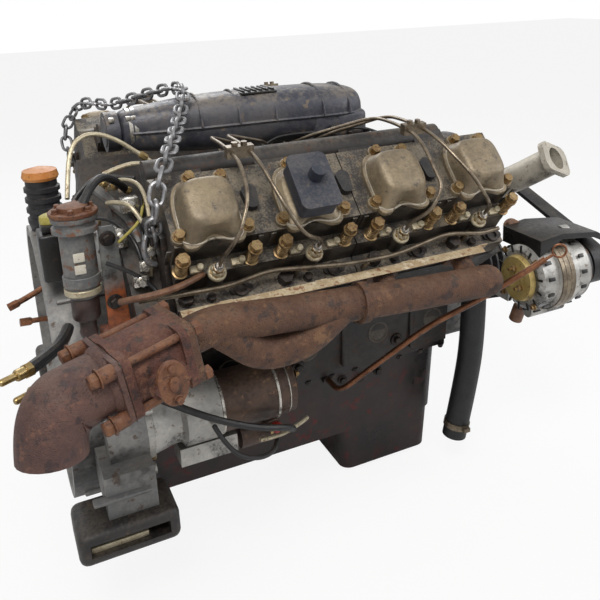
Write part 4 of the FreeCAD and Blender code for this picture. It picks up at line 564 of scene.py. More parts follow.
def block(size: Triple, bevel: float = 1.5, segments: int = 2) -> bpy.types.Object:
    """Makes a box with rounded edges, centred on the origin.

    Args:
        size: millimetres along X, Y and Z.
        bevel: the edge's radius in millimetres.
        segments: steps of the round.
    """
    clear()
    bpy.ops.mesh.primitive_cube_add(size=1.0)
    piece = bpy.context.active_object
    bpy.ops.object.mode_set(mode="EDIT")
    bpy.ops.mesh.select_all(action="SELECT")
    bpy.ops.transform.resize(value=tuple(value * MM for value in size))
    bpy.ops.mesh.bevel(offset=bevel * MM, segments=segments, affect="EDGES")
    bpy.ops.object.mode_set(mode="OBJECT")
    return piece


def circle(radius: float, count: int) -> list[tuple[float, float]]:
    """Returns the points of a circle about the origin, in millimetres."""
    angles = [math.tau * k / count for k in range(count)]
    return [(radius * math.cos(angle), radius * math.sin(angle)) for angle in angles]


def plate(loops: Sequence[Sequence[tuple[float, float]]], thickness: float, bevel: float = 0.8,
          round_corner: bool = False) -> bpy.types.Object:
    """Makes a flat plate in XY, from its outline and its holes, with eased edges.

    Args:
        loops: closed outlines in millimetres, the first one outermost.
        thickness: millimetres, half each side of the origin.
        bevel: the edge's round.
        round_corner: whether the outlines are smooth curves.
    """
    clear()
    curve = bpy.data.curves.new("plate", "CURVE")
    curve.dimensions = "2D"
    curve.fill_mode = "BOTH"
    for loop in loops:
        spline = curve.splines.new("NURBS" if round_corner else "POLY")
        spline.points.add(len(loop) - 1)
        for point, (x, y) in zip(spline.points, loop):
            point.co = (x * MM, y * MM, 0, 1)
        spline.use_cyclic_u = True
        if round_corner:
            spline.order_u = 3
    curve.extrude = max(thickness / 2 - bevel, 0.05) * MM
    curve.bevel_depth = bevel * MM
    curve.bevel_resolution = 1
    curve.offset = -bevel * MM
    return to_mesh(curve)


def to_mesh(curve: bpy.types.Curve) -> bpy.types.Object:
    """Turns a curve into a mesh object with its doubles merged, and returns it."""
    piece = bpy.data.objects.new("piece", curve)
    bpy.context.collection.objects.link(piece)
    only(piece)
    bpy.ops.object.convert(target="MESH")
    piece = bpy.context.active_object
    bpy.ops.object.mode_set(mode="EDIT")
    bpy.ops.mesh.select_all(action="SELECT")
    bpy.ops.mesh.remove_doubles(threshold=1e-6)
    bpy.ops.mesh.normals_make_consistent(inside=False)
    bpy.ops.object.mode_set(mode="OBJECT")
    return piece


def hose(points: Sequence[Triple], radius: float, fine: int = 3, steps: int = 8,
         bend: bool = True) -> bpy.types.Object:
    """Makes a round line along a smooth path with capped ends.

    Args:
        points: the path in millimetres.
        radius: the line's radius.
        fine: resolution round the line.
        steps: resolution along each stretch.
        bend: whether the path is smooth between the points.
    """
    clear()
    curve = bpy.data.curves.new("line", "CURVE")
    curve.dimensions = "3D"
    spline = curve.splines.new("NURBS" if bend else "POLY")
    spline.points.add(len(points) - 1)
    for point, place in zip(spline.points, points):
        point.co = (*(value * MM for value in place), 1)
    if bend:
        spline.order_u = 3
        spline.use_endpoint_u = True
    spline.resolution_u = steps
    curve.bevel_depth = radius * MM
    curve.bevel_resolution = fine
    curve.use_fill_caps = True
    return to_mesh(curve)


def pick(piece: bpy.types.Object, test: Callable[[bpy.types.MeshPolygon], bool]) -> None:
    """Enters edit mode with only the faces that pass the test selected."""
    only(piece)
    bpy.ops.object.mode_set(mode="EDIT")
    bpy.ops.mesh.select_mode(type="FACE")
    bpy.ops.mesh.select_all(action="DESELECT")
    bpy.ops.object.mode_set(mode="OBJECT")
    for face in piece.data.polygons:
        face.select = test(face)
    bpy.ops.object.mode_set(mode="EDIT")


def flowing(points: Sequence[Sequence[float]], closed: bool, steps: int = 16) -> list[Vector]:
    """Returns many points on a smooth line through the given ones.

    Args:
        points: the points to pass through.
        closed: whether the line returns to its start.
        steps: points for each stretch.
    """
    spots = [Vector(point) for point in points]
    count = len(spots)
    line = []
    for k in range(count if closed else count - 1):
        if closed:
            a, b, c, d = (spots[(k + j) % count] for j in (-1, 0, 1, 2))
        else:
            a, b, c, d = (spots[min(max(k + j, 0), count - 1)] for j in (-1, 0, 1, 2))
        for step in range(steps):
            t = step / steps
            line.append(0.5 * (2 * b + (c - a) * t + (2 * a - 5 * b + 4 * c - d) * t ** 2
                               + (3 * b - a - 3 * c + d) * t ** 3))
    return line if closed else line + [spots[-1]]


def pick_points(piece: bpy.types.Object, test: Callable[[Vector], bool]) -> None:
    """Enters edit mode with only the points that pass the test selected."""
    only(piece)
    bpy.ops.object.mode_set(mode="EDIT")
    bpy.ops.mesh.select_mode(type="VERT")
    bpy.ops.mesh.select_all(action="DESELECT")
    bpy.ops.object.mode_set(mode="OBJECT")
    for vertex in piece.data.vertices:
        vertex.select = test(vertex.co)
    bpy.ops.object.mode_set(mode="EDIT")


def sized(piece: bpy.types.Object, scale: Triple, centre: Triple = (0, 0, 0)) -> bpy.types.Object:
    """Resizes the whole mesh about a point in metres, and returns the piece."""
    pick_points(piece, lambda spot: True)
    bpy.ops.transform.resize(value=scale, center_override=centre)
    bpy.ops.object.mode_set(mode="OBJECT")
    return piece


def coil(radius: float, wire: float, pitch: float, turns: int) -> bpy.types.Object:
    """Makes a coil spring about Z that stands on the origin, by the screw of a small circle.

    Args:
        radius: the coil's mean radius, millimetres.
        wire: the wire's radius.
        pitch: rise per turn.
        turns: number of turns.
    """
    clear()
    bpy.ops.mesh.primitive_circle_add(vertices=8, radius=wire * MM, fill_type="NGON",
                                      rotation=(math.pi / 2, 0, 0))
    piece = bpy.context.active_object
    piece.location = (radius * MM, 0, 0)
    bpy.ops.object.transform_apply(location=True, rotation=True, scale=True)
    screw = piece.modifiers.new("coil", "SCREW")
    screw.screw_offset = pitch * MM
    screw.iterations = turns
    screw.steps = screw.render_steps = 18
    bpy.ops.object.modifier_apply(modifier=screw.name)
    bpy.ops.object.mode_set(mode="EDIT")
    bpy.ops.mesh.select_all(action="SELECT")
    bpy.ops.mesh.normals_make_consistent(inside=False)
    bpy.ops.object.mode_set(mode="OBJECT")
    return piece


def bolt(across: float, height: float, washer: float = 0.0, stud: float = 0.0) -> bpy.types.Object:
    """Makes a hexagon head that stands on the origin, with a domed top, a washer and a stud end if given.

    Args:
        across: width across the corners, millimetres.
        height: height of the head.
        washer: the washer's radius, or 0.
        stud: how far a threaded end stands out of it.
    """
    base = 2.2 if washer else 0.0
    head = drum([(base, across * 0.46), (base + 0.8, across * 0.5), (base + height * 0.8, across * 0.5),
                 (base + height, across * 0.4)], sides=6)
    parts = [head]
    if washer:
        parts.append(drum([(0, washer), (base * 0.7, washer), (base, washer * 0.92)], sides=20))
    if stud:
        top = base + height
        parts.append(drum([(top - 1, across * 0.24), (top + stud - 1, across * 0.24),
                           (top + stud, across * 0.18)], 12))
    return join(parts)


def join(parts: Sequence[bpy.types.Object]) -> bpy.types.Object:
    """Joins the parts into the first one, and returns it."""
    only(parts[0])
    for part in parts[1:]:
        part.select_set(True)
    if len(parts) > 1:
        bpy.ops.object.join()
    return bpy.context.active_object


def moved(piece: bpy.types.Object, place: Matrix) -> bpy.types.Object:
    """Moves the mesh itself, so the object stays at the origin, and returns the piece."""
    piece.data.transform(place)
    piece.data.update()
    return piece


UPRIGHT = Matrix(((1, 0, 0), (0, 0, -1), (0, 1, 0))).to_4x4()


def put(x: float, y: float, z: float) -> Matrix:
    """Returns a plain move in millimetres."""
    return Matrix.Translation((x * MM, y * MM, z * MM))


def copies(piece: bpy.types.Object, places: Iterable[Matrix]) -> list[bpy.types.Object]:
    """Returns a copy of the piece, with a mesh of its own, for each place, and removes the first one."""
    made = []
    for place in places:
        twin = piece.copy()
        twin.data = piece.data.copy()
        bpy.context.collection.objects.link(twin)
        made.append(moved(twin, place))
    bpy.data.objects.remove(piece)
    return made


def smooth(piece: bpy.types.Object, angle: float = 35.0) -> None:
    """Shades the piece smooth up to this angle in degrees."""
    only(piece)
    bpy.ops.object.shade_smooth_by_angle(angle=math.radians(angle))


@dataclass
class Assembly:
    """What every sub-assembly shares: its finishes and the way a piece is signed off."""

    finishes: Finishes

    def sign(self, piece: bpy.types.Object, name: str, finish: str, body: str = "engine",
             stands_for: Sequence[str] = (), slot: str | None = None) -> bpy.types.Object:
        """Names, dresses and mounts a finished piece.

        Args:
            piece: the object.
            name: its name.
            finish: its finish.
            body: the body it rides on.
            stands_for: the nodes it replaces.
            slot: not used.
        Returns:
            The piece.
        """
        piece.name = name
        if piece.type == "MESH":
            piece.data.name = name
            smooth(piece)
        piece.data.materials.clear()
        piece.data.materials.append(self.finishes.get(finish))
        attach(piece, body)
        if stands_for:
            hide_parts(*stands_for)
        LOG.info("%s in %s", name, finish)
        return piece


RECORD_SLOTS: set[str] = set()


# ---------------------------------------------------------------- sub-assemblies
@dataclass
class CoolantHose(Assembly):
    """The lower coolant hose, one tube along a smooth curve."""

    route: tuple[Triple, ...] = (
        (0.874, -0.250, 0.062),
        (0.872, -0.252, -0.060),
        (0.856, -0.246, -0.190),
        (0.834, -0.238, -0.310),
    )
    diameter: float = 0.056
    length: float = 0.375

    def build(self, nodes: dict[str, bpy.types.Object]) -> None:
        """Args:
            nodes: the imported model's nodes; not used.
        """
        curve = bpy.data.curves.new("coolant_hose_line", "CURVE")
        curve.dimensions = "3D"
        spline = curve.splines.new("NURBS")
        spline.points.add(len(self.route) - 1)
        for point, place in zip(spline.points, self.route):
            point.co = (*place, 1)
        spline.order_u = 3
        spline.use_endpoint_u = True
        spline.resolution_u = 24
        curve.bevel_depth = self.diameter / 2
        curve.bevel_resolution = 8
        curve.use_fill_caps = True
        piece = bpy.data.objects.new("coolant_hose_line", curve)
        bpy.context.collection.objects.link(piece)
        self.sign(piece, "coolant_hose_line", "rubber", stands_for=["coolant_hose"])


@dataclass
class Portrait:
    """The camera, the lamps, the floor and the world."""

    place: Triple = (-0.053, -1.482, 0.713)
    azimuth: float = -26.05
    elevation: float = 16.28
    roll: float = -1.86
    lens: float = 44.12
    shift: tuple[float, float] = (-0.0667, -0.1667)
    floor_drop: float = 0.001
    floor_white: float = 0.88
    sky: float = 0.26
    gloss: float = 0.75
    middle: Triple = (0.45, -0.1, 0.15)
    lamps: tuple[tuple[str, Triple, float, float, Triple], ...] = (
        ("key", (-0.6, -2.2, 3.0), 1.3, 84.0, (1.0, 0.98, 0.95)),
        ("fill", (3.2, -1.8, 1.6), 2.0, 42.0, (0.95, 0.97, 1.0)),
        ("rim", (0.6, 2.6, 2.2), 1.8, 40.0, (0.96, 0.98, 1.0)))

    def camera(self) -> None:
        """Makes the camera and makes it the scene's."""
        azimuth, elevation, roll = (math.radians(v) for v in (self.azimuth, self.elevation, self.roll))
        ahead = Vector((-math.sin(azimuth) * math.cos(elevation), math.cos(azimuth) * math.cos(elevation),
                        -math.sin(elevation)))
        level = Vector((math.cos(azimuth), math.sin(azimuth), 0))
        right = level * math.cos(roll) + level.cross(ahead) * math.sin(roll)
        over = right.cross(ahead)
        turn = Matrix((right, over, -ahead)).transposed().to_4x4()
        data = bpy.data.cameras.new("portrait")
        data.sensor_width, data.lens = 36.0, self.lens
        data.shift_x, data.shift_y = self.shift
        data.clip_start, data.clip_end = 0.05, 60.0
        camera = bpy.data.objects.new("portrait", data)
        camera.matrix_world = Matrix.Translation(self.place) @ turn
        bpy.context.collection.objects.link(camera)
        bpy.context.scene.camera = camera

    def lamp(self, name: str, place: Triple, target: Triple, size: float, power: float,
             tint: Triple) -> None:
        """Hangs one soft square lamp.

        Args:
            name: its name.
            place, target: where it hangs and what it faces, metres.
            size: its side, metres.
            power: watts.
            tint: its colour.
        """
        data = bpy.data.lights.new(name, "AREA")
        data.size, data.energy, data.color = size, power, tint
        lamp = bpy.data.objects.new(name, data)
        lamp.location = place
        lamp.rotation_euler = (Vector(target) - Vector(place)).to_track_quat("-Z", "Y").to_euler()
        bpy.context.collection.objects.link(lamp)

    def lights(self) -> None:
        """Hangs the lamps and sets the world."""
        for name, place, size, power, tint in self.lamps:
            self.lamp(name, place, self.middle, size, power, tint)
        world = bpy.data.worlds.new("studio")
        bpy.context.scene.world = world
        board = Board("studio", world)
        camera, glossy, through = (board.add("ShaderNodeLightPath", output=f"Is {ray} Ray")
                                   for ray in ("Camera", "Glossy", "Transmission"))
        seen = board.math("MAXIMUM", board.math("MAXIMUM", camera, through), glossy * self.gloss)
        level = board.add("ShaderNodeMapRange", {}, {"Value": seen, "To Min": self.sky, "To Max": 1.0})
        board.end(board.add("ShaderNodeBackground", {},
                            {"Color": (1.0, 1.0, 1.0, 1.0), "Strength": level}),
                  "ShaderNodeOutputWorld")

    def floor(self, level: float) -> None:
        """Lays the pale floor under the lowest point.

        Args:
            level: height of the floor, metres.
        """
        clear()
        bpy.ops.mesh.primitive_plane_add(size=30.0, location=(0.45, 0, level - self.floor_drop))
        floor = bpy.context.active_object
        bpy.ops.object.transform_apply(location=True, rotation=True, scale=True)
        floor.name = "studio_floor"
        board = Board("studio_floor")
        tone = board.mix(board.noise(3.0, 3.0).step(0.3, 0.7), (0.86, 0.86, 0.86, 1), (0.9, 0.9, 0.9, 1))
        matt = board.add("ShaderNodeBsdfDiffuse", {}, {"Color": tone})
        white = board.add("ShaderNodeEmission", {}, {"Color": (1, 1, 1, 1), "Strength": 1.0})
        seen = board.add("ShaderNodeLightPath", output="Is Camera Ray")
        both = board.add("ShaderNodeMixShader", {}, {0: seen * self.floor_white, 1: matt, 2: white})
        board.end(both)
        floor.data.materials.append(board.material)
        floor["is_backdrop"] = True

    def build(self, level: float) -> None:
        """Sets the floor, the lamps and the view transform."""
        self.lights()
        self.floor(level)
        bpy.context.scene.view_settings.view_transform = "Standard"


SEAT = 490.4
COVER_PLANE = 542.4
CYLINDERS = (245.0, 415.0, 585.0, 755.0)
COVER_OUTLINE = ((-52, -62), (-34, -74), (-4, -60), (30, -74), (50, -60), (46, 16), (30, 42), (-32, 45),
                 (-54, 8))


@dataclass
class TensionSprings(Assembly):
    """The coil springs that hold the injector clamps down, with a cup under each and a washer on top."""

    places: tuple[tuple[float, float], ...] = ((-54.0, -81.0), (63.0, -82.0))
    height: float = 35.0
    radius: float = 8.6
    wire: float = 1.8
    turns: int = 6

    def one(self) -> bpy.types.Object:
        """Returns one spring with its cup and washer, standing on the origin."""
        rise = (self.height - 5.0) / self.turns
        wound = moved(coil(self.radius, self.wire, rise, self.turns), put(0, 0, 2.4))
        cup = drum([(0.3, 13.0), (2.2, 13.0), (2.8, 11.5)], 20)
        top = drum([(self.height - 1.6, 11.4), (self.height - 0.2, 11.4)], 20)
        return join([wound, cup, top])

    def build(self) -> None:
        """Sets a spring at each place of both banks."""
        spots = [bank_place(bank, x + dx, w, SEAT) for bank in Bank for x in CYLINDERS for dx,
                 w in self.places]
        self.sign(join(copies(self.one(), spots)), "wound_springs", "plated_bolts",
                  stands_for=["tension_springs"])


@dataclass
class CoverTrim(Assembly):
    """Beads round the rocker covers, and the ribs and clips beside them."""


    def bead(self) -> bpy.types.Object:
        """Returns the bright bead that runs round the cover's foot, in bank axes."""
        loop = [(x * 0.985, w * 0.985, 9.6) for x, w in COVER_OUTLINE]
        return hose(loop + loop[:1], 1.7, fine=1, steps=5)

    def clip(self) -> bpy.types.Object:
        """Returns one pale clip that holds a return union."""
        body = block((20, 13, 7), 2.0)
        ear = moved(drum([(0, 6), (9, 6), (11, 4.5)], 14), put(7, 0, 0))
        return join([body, ear])

    def build(self) -> None:
        """Sets the beads and the clips on both banks."""
        spots = [bank_place(bank, x, 0, COVER_PLANE) for bank in Bank for x in CYLINDERS]
        self.sign(join(copies(self.bead(), spots)), "cover_beads", "bright_cover")
        seats = [bank_place(bank, x + dx, -84, SEAT + 5.5) for bank in Bank for x in CYLINDERS
                 for dx in (-31, 38)]
        self.sign(join(copies(self.clip(), seats)), "return_clips", "pale_metal")
        webs = [moved(block((9, 3.4, 42), 1.2), bank_place(bank, x + dx, -65.4, SEAT + 26))
                for bank in Bank for x in CYLINDERS for dx in (-72, 76)]
        self.sign(join(webs), "rocker_box_ribs", "head_iron")


@dataclass
class Unions(Assembly):
    """Hexagon unions where the fuel lines meet the injectors and the pump."""

    injector: tuple[float, float] = (2.5, -94.0)
    pump_valves: tuple[float, ...] = (405.8, 456.9, 508.0, 559.0)
    pump_top: float = 341.0

    def build(self) -> None:
        """Sets a stacked union at each injector and each delivery valve."""
        nut = join([drum([(0, 8.6), (9, 8.6)], 6), drum([(9, 7.2), (12, 7.2), (15, 5.4)], 16),
                    drum([(-3, 9.6), (0, 9.6)], 18)])
        dx, w = self.injector
        spots = [bank_place(bank, x + dx, w, SEAT + 12) for bank in Bank for x in CYLINDERS]
        spots += [aimed((x, y, self.pump_top - 8), (0, 0, 1)) for x in self.pump_valves
                  for y in (-24.0, 24.0)]
        self.sign(join(copies(nut, spots)), "line_unions", "bright_steel")
        collar = join([drum([(0, 15.5), (4, 15.5), (6, 14)], 24),
                       drum([(6, 12.0), (14, 12.0), (16, 10.5)], 6)])
        spots = [bank_place(bank, x + dx, w, SEAT - 2) for bank in Bank for x in CYLINDERS]
        self.sign(join(copies(collar, spots)), "injector_collars", "pale_metal")


@dataclass
class IntakeDuct(Assembly):
    """The big cast inlet duct over the valley, with its seam, ribs, foot bolts and the mouth's band."""

    start: float = 185.0
    end: float = 707.0
    middle: float = 450.0
    square: float = 0.16
    stations: tuple[tuple[float, float, float], ...] = ((0.0, 38, 38), (0.04, 40, 40), (0.1, 46, 45),
                                                        (0.3, 61, 57), (0.45, 65,
                                                                        58), (0.6, 68, 59), (0.8, 79, 57),
                                                        (0.92, 77, 53), (0.985, 66, 46), (1.0, 50, 34))

    def shell(self) -> bpy.types.Object:
        """Returns the duct's shell, from a squared ring extruded along X and resized, then subdivided."""
        clear()
        sides = 16
        bpy.ops.mesh.primitive_circle_add(vertices=sides, radius=MM, fill_type="NGON",
                                          rotation=(0, math.pi / 2, 0), location=(0, 0, 0))
        piece = bpy.context.active_object
        bpy.ops.object.transform_apply(location=True, rotation=True, scale=True)
        for low, high, out in ((0.9, 1.1, 1.0 + self.square), (0.3, 0.5, 1.0 + self.square / 2),
                               (1.9, 2.6, 1.0 + self.square / 2)):
            pick_points(piece, lambda spot: low < abs(spot.z) / max(abs(spot.y), 1e-6) < high)
            bpy.ops.transform.resize(value=(1, out, out), center_override=(0, 0, 0))
            bpy.ops.object.mode_set(mode="OBJECT")
        length = self.end - self.start
        share, wide, tall = self.stations[0]
        bpy.ops.object.mode_set(mode="EDIT")
        bpy.ops.mesh.select_all(action="SELECT")
        bpy.ops.transform.resize(value=(1, wide, tall), center_override=(0, 0, 0))
        bpy.ops.transform.translate(value=(self.start * MM, 0, self.middle * MM))
        before = (share, wide, tall)
        for share, wide, tall in self.stations[1:]:
            lift = {"value": ((share - before[0]) * length * MM, 0, 0)}
            bpy.ops.mesh.extrude_region_move(TRANSFORM_OT_translate=lift)
            centre = ((self.start + share * length) * MM, 0, self.middle * MM)
            bpy.ops.transform.resize(value=(1, wide / before[1], tall / before[2]), center_override=centre)
            before = (share, wide, tall)
        bpy.ops.mesh.select_all(action="SELECT")
        bpy.ops.mesh.normals_make_consistent(inside=False)
        bpy.ops.object.mode_set(mode="OBJECT")
        finer = piece.modifiers.new("finer", "SUBSURF")
        finer.levels = finer.render_levels = 2
        only(piece)
        bpy.ops.object.modifier_apply(modifier=finer.name)
        return piece

    def foot(self) -> bpy.types.Object:
        """Returns the foot and its flange under the wide end."""
        plate_piece = moved(block((142, 176, 12), 2.5), put(643, 0, 394))
        neck = moved(block((128, 154, 58), 12, 4), put(643, 0, 424))
        return join([neck, plate_piece])

    def build(self) -> None:
        """Builds the duct and what is fixed to it."""
        duct = join([self.shell(), self.foot()])
        bores = [moved(drum([(-3, 39.5), (22, 39.5)], 40),
                       aimed((self.start - 20, 0, self.middle), (1, 0, 0))),
                 moved(drum([(0, 30), (30, 30)], 40), aimed((160, 0, self.middle), (1, 0, 0)))]
        self.sign(join([duct] + bores), "inlet_casting", "duct_paint", stands_for=["intake_duct"])
        length = self.end - self.start
        ribs = []
        for share, wide, tall in self.stations[3:8]:
            x = self.start + share * length
            loop = [(x, wide * 1.05 * math.cos(a), self.middle + tall * 1.05 * math.sin(a))
                    for a in [math.pi * k / 12 for k in range(13)]]
            ribs.append(hose(loop, 2.6, fine=1, steps=3))
        seams = []
        for side in (-1, 1):
            line = [(self.start + s * length, side * (w * 1.0 + 0.3), self.middle - 2) for s, w,
                    _ in self.stations[1:9]]
            seams.append(hose(line, 3.4, fine=1, steps=6))
        self.sign(join(ribs + seams), "inlet_ribs", "duct_paint")
        lugs = [moved(bolt(15, 8, 9.5), aimed((x, side * 82, 400), (0, 0, 1)))
                for x in (585, 624, 662, 701) for side in (-1, 1)]
        self.sign(join(lugs), "inlet_bolts", "black_bolts")
        bands = []
        for x in (172, 204, 214):
            ring = drum([(0, 33 if x < 180 else 43.5), (7, 33 if x < 180 else 43.5)], 40)
            bands.append(moved(ring, aimed((x, 0, self.middle), (1, 0, 0))))
            bands.append(moved(block((10, 16, 9), 1.5), put(x, -30, self.middle + 28)))
        self.sign(join(bands), "inlet_bands", "bright_steel")
        top = [moved(block((5, 62, 9), 1.2), put(440 + 13 * k, -10, self.middle + 57.5)) for k in range(6)]
        top.append(moved(block((78, 70, 6), 2), put(472.5, -10, self.middle + 55)))
        self.sign(join(top), "ribbed_heater", "tar_black")


@dataclass
class BrakeHardware(Assembly):
    """Long studs, spacers, nuts and gaskets of the exhaust brake."""

    origin: Triple = (147.0, -518.5, 227.0)
    axis: Triple = (-0.956, -0.2515, -0.151)
    across: Triple = (0.254, -0.967, 0.0)
    bolts: tuple[tuple[float, float], ...] = ((-46, -37), (46, -37), (-46, 37), (46, 37))
    length: float = 98.0

    def place(self) -> Matrix:
        """Returns the brake's own place, with its Z along the gas."""
        along = Vector(self.axis).normalized()
        side = Vector(self.across)
        side = (side - along * side.dot(along)).normalized()
        up = along.cross(side)
        turn = Matrix((side, up, along)).transposed().to_4x4()
        return put(*self.origin) @ turn

    def build(self) -> None:
        """Builds the studs with their spacers, and the gaskets between the flanges."""
        place = self.place()
        reach = self.length + 8
        one = join([drum([(-24, 6), (reach + 28, 6)], 16),
                    drum([(reach + 0.5, 10.2), (reach + 2, 11), (reach + 19, 11),
                          (reach + 20.5, 10.2)], 24),
                    drum([(-22, 10), (-21, 11), (-12, 11), (-11.3, 10)], 6),
                    drum([(reach + 21, 14), (reach + 23, 14)], 24),
                    drum([(reach + 23.4, 10), (reach + 24.4, 11), (reach + 33, 11), (reach + 35, 9)], 6)])
        spots = [place @ put(x, y, 0) for x, y in self.bolts]
        self.sign(join(copies(one, spots)), "brake_studs", "brake_steel", stands_for=["brake_bolts"])
        outline = [(-54, -46), (54, -46), (54, 46), (-54, 46)]
        rims = [moved(plate([outline, circle(47, 28)], 1.6, 0.3), place @ put(0, 0, z))
                for z in (-11.0, -0.6, self.length + 0.6)]
        self.sign(join(rims), "brake_gaskets", "gasket_steel")


@dataclass
class Alternator(Assembly):
    """Slots, stator band, studs and the rear cap of the alternator."""

    side: float = -380.0
    height: float = 124.0
    rear: float = 892.0
    radius: float = 74.0

    def at(self, x: float) -> Matrix:
        """Returns a place on its shaft, with Z forward along the crankshaft."""
        return aimed((x, self.side, self.height), (1, 0, 0))

    def build(self) -> None:
        """Builds the bands, the slots, the studs and the terminal cap."""
        r = self.radius
        band = drum([(0, r - 2), (1.5, r + 2.4), (10, r + 2.4), (11, r + 1.2), (12, r + 2.4),
                     (22, r + 2.4), (23, r + 1.2), (24, r + 2.4), (34, r + 2.4), (36, r - 2)], 56)
        self.sign(moved(band, self.at(self.rear + 46)), "stator_band", "line_steel")
        cap = drum([(-14, r * 0.5), (-12, r * 0.62), (-3, r * 0.66), (-0.4, r * 0.66)], 40)
        self.sign(moved(cap, self.at(self.rear)), "alternator_cap", "zinc_yellow")
        slots = []
        for k in range(14):
            turn = Matrix.Rotation(math.tau * k / 14, 4, "Z")
            for size, along, out in (((5, 16, 3), -0.2, r * 0.83), ((8, 4, 15), 20, r + 0.3),
                                     ((8, 4, 13), 106, r - 0.3)):
                slots.append(moved(block(size, 1.2), self.at(self.rear + along) @ turn @ put(0, out, 0)))
        self.sign(join(slots), "alternator_slots", "tar_black")
        studs = []
        for k in range(4):
            turn = Matrix.Rotation(math.tau * (k + 0.5) / 4, 4, "Z")
            studs.append(moved(bolt(11, 6, 7), self.at(self.rear - 0.5) @ turn @ put(0, r - 7, 0)
                               @ Matrix.Rotation(math.pi, 4, "X")))
        for x, y in ((0, 24), (18, -16), (-20, -12)):
            post = join([drum([(0, 7), (7, 7), (9, 5)], 6), drum([(9, 3), (18, 3)], 12)])
            studs.append(moved(post, self.at(self.rear - 13) @ put(x, y, 0)
                               @ Matrix.Rotation(math.pi, 4, "X")))
        self.sign(join(studs), "alternator_studs", "plated_bolts")


@dataclass
class StarterDress(Assembly):
    """Joint bands, through bolts, terminals and heavy cables of the starter."""

    side: float = -263.0
    height: float = -40.0

    def at(self, x: float) -> Matrix:
        """Returns a place on the starter's shaft, with Z forward along the crankshaft."""
        return aimed((x, self.side, self.height), (1, 0, 0))

    def build(self) -> None:
        """Builds what the plain solids leave out."""
        bands = [moved(drum([(0, 58.6), (0.8, 60.4), (5.2, 60.4), (6, 58.6)], 48), self.at(x))
                 for x in (263, 372)]
        bands.append(moved(drum([(0, 54.4), (0.6, 55.4), (2.2, 55.4), (2.8, 54.4)], 48), self.at(398)))
        self.sign(join(bands), "starter_bands", "bright_steel")
        heads = [moved(bolt(11, 6, 8), self.at(420.5) @ Matrix.Rotation(angle, 4, "Z") @ put(0, 38, 0))
                 for angle in (0.7, math.pi + 0.7)]
        heads += [moved(bolt(19, 11, 13), self.at(125.5) @ Matrix.Rotation(angle, 4, "Z") @ put(0, 60, 0))
                  for angle in (0.4, 2.4, 4.3)]
        self.sign(join(heads), "starter_bolts", "plated_bolts")
        turns = [Matrix.Rotation(0.9 + 0.42 * k, 4, "Z") for k in range(5)]
        fins = [moved(block((6, 12, 62), 2), self.at(178) @ turn @ put(0, -58, 0)) for turn in turns]
        self.sign(join(fins), "nose_ribs", "starter_aluminium")
        posts = [moved(join([drum([(0, 11), (8, 11), (10, 9)], 20), drum([(10, 5), (22, 5)], 12),
                             drum([(12, 8.5), (18, 8.5)], 6)]), aimed((363, y, -125), (1, 0, 0)))
                 for y in (self.side - 10, self.side + 11)]
        self.sign(join(posts), "solenoid_terminals", "brass")
        cables = [hose([(380, -273, -126), (398, -285, -128), (404, -316, -112), (380, -344, -84),
                        (318, -352, -62), (244, -352, -22), (190, -338, 10), (150, -322, 34)], 6.5),
                  hose([(380, -252, -124), (400, -246, -120), (408, -240, -90), (402, -222, -60),
                        (360, -212, -38)], 4.2),
                  hose([(240, -336, -40), (262, -352, -96), (312, -356, -124), (356, -338, -130),
                        (372, -300, -128)], 4.6)]
        self.sign(join(cables), "starter_cables", "cable_black")
        boots = [moved(drum([(0, 9), (3, 11), (14, 11), (20, 8)], 18),
                       aimed((386, -280, -126), (-0.6, 0.7, 0.1)))]
        self.sign(join(boots), "terminal_boot", "cable_red")
        strap = hose([(330, -322, -108), (366, -318, -116), (420, -292, -122), (450, -268, -128)], 4.4)
        self.sign(strap, "earth_strap", "pale_metal")


def met(node: bpy.types.Object, start: Triple, toward: Triple) -> Vector | None:
    """Finds where a straight look meets a solid.

    Args:
        node: the solid.
        start: where the look starts, millimetres.
        toward: its direction.
    Returns:
        The point in millimetres, or None where it passes by.
    """
    hit, place, _, _ = node.ray_cast(Vector(start) * MM, Vector(toward).normalized())
    return place / MM if hit else None


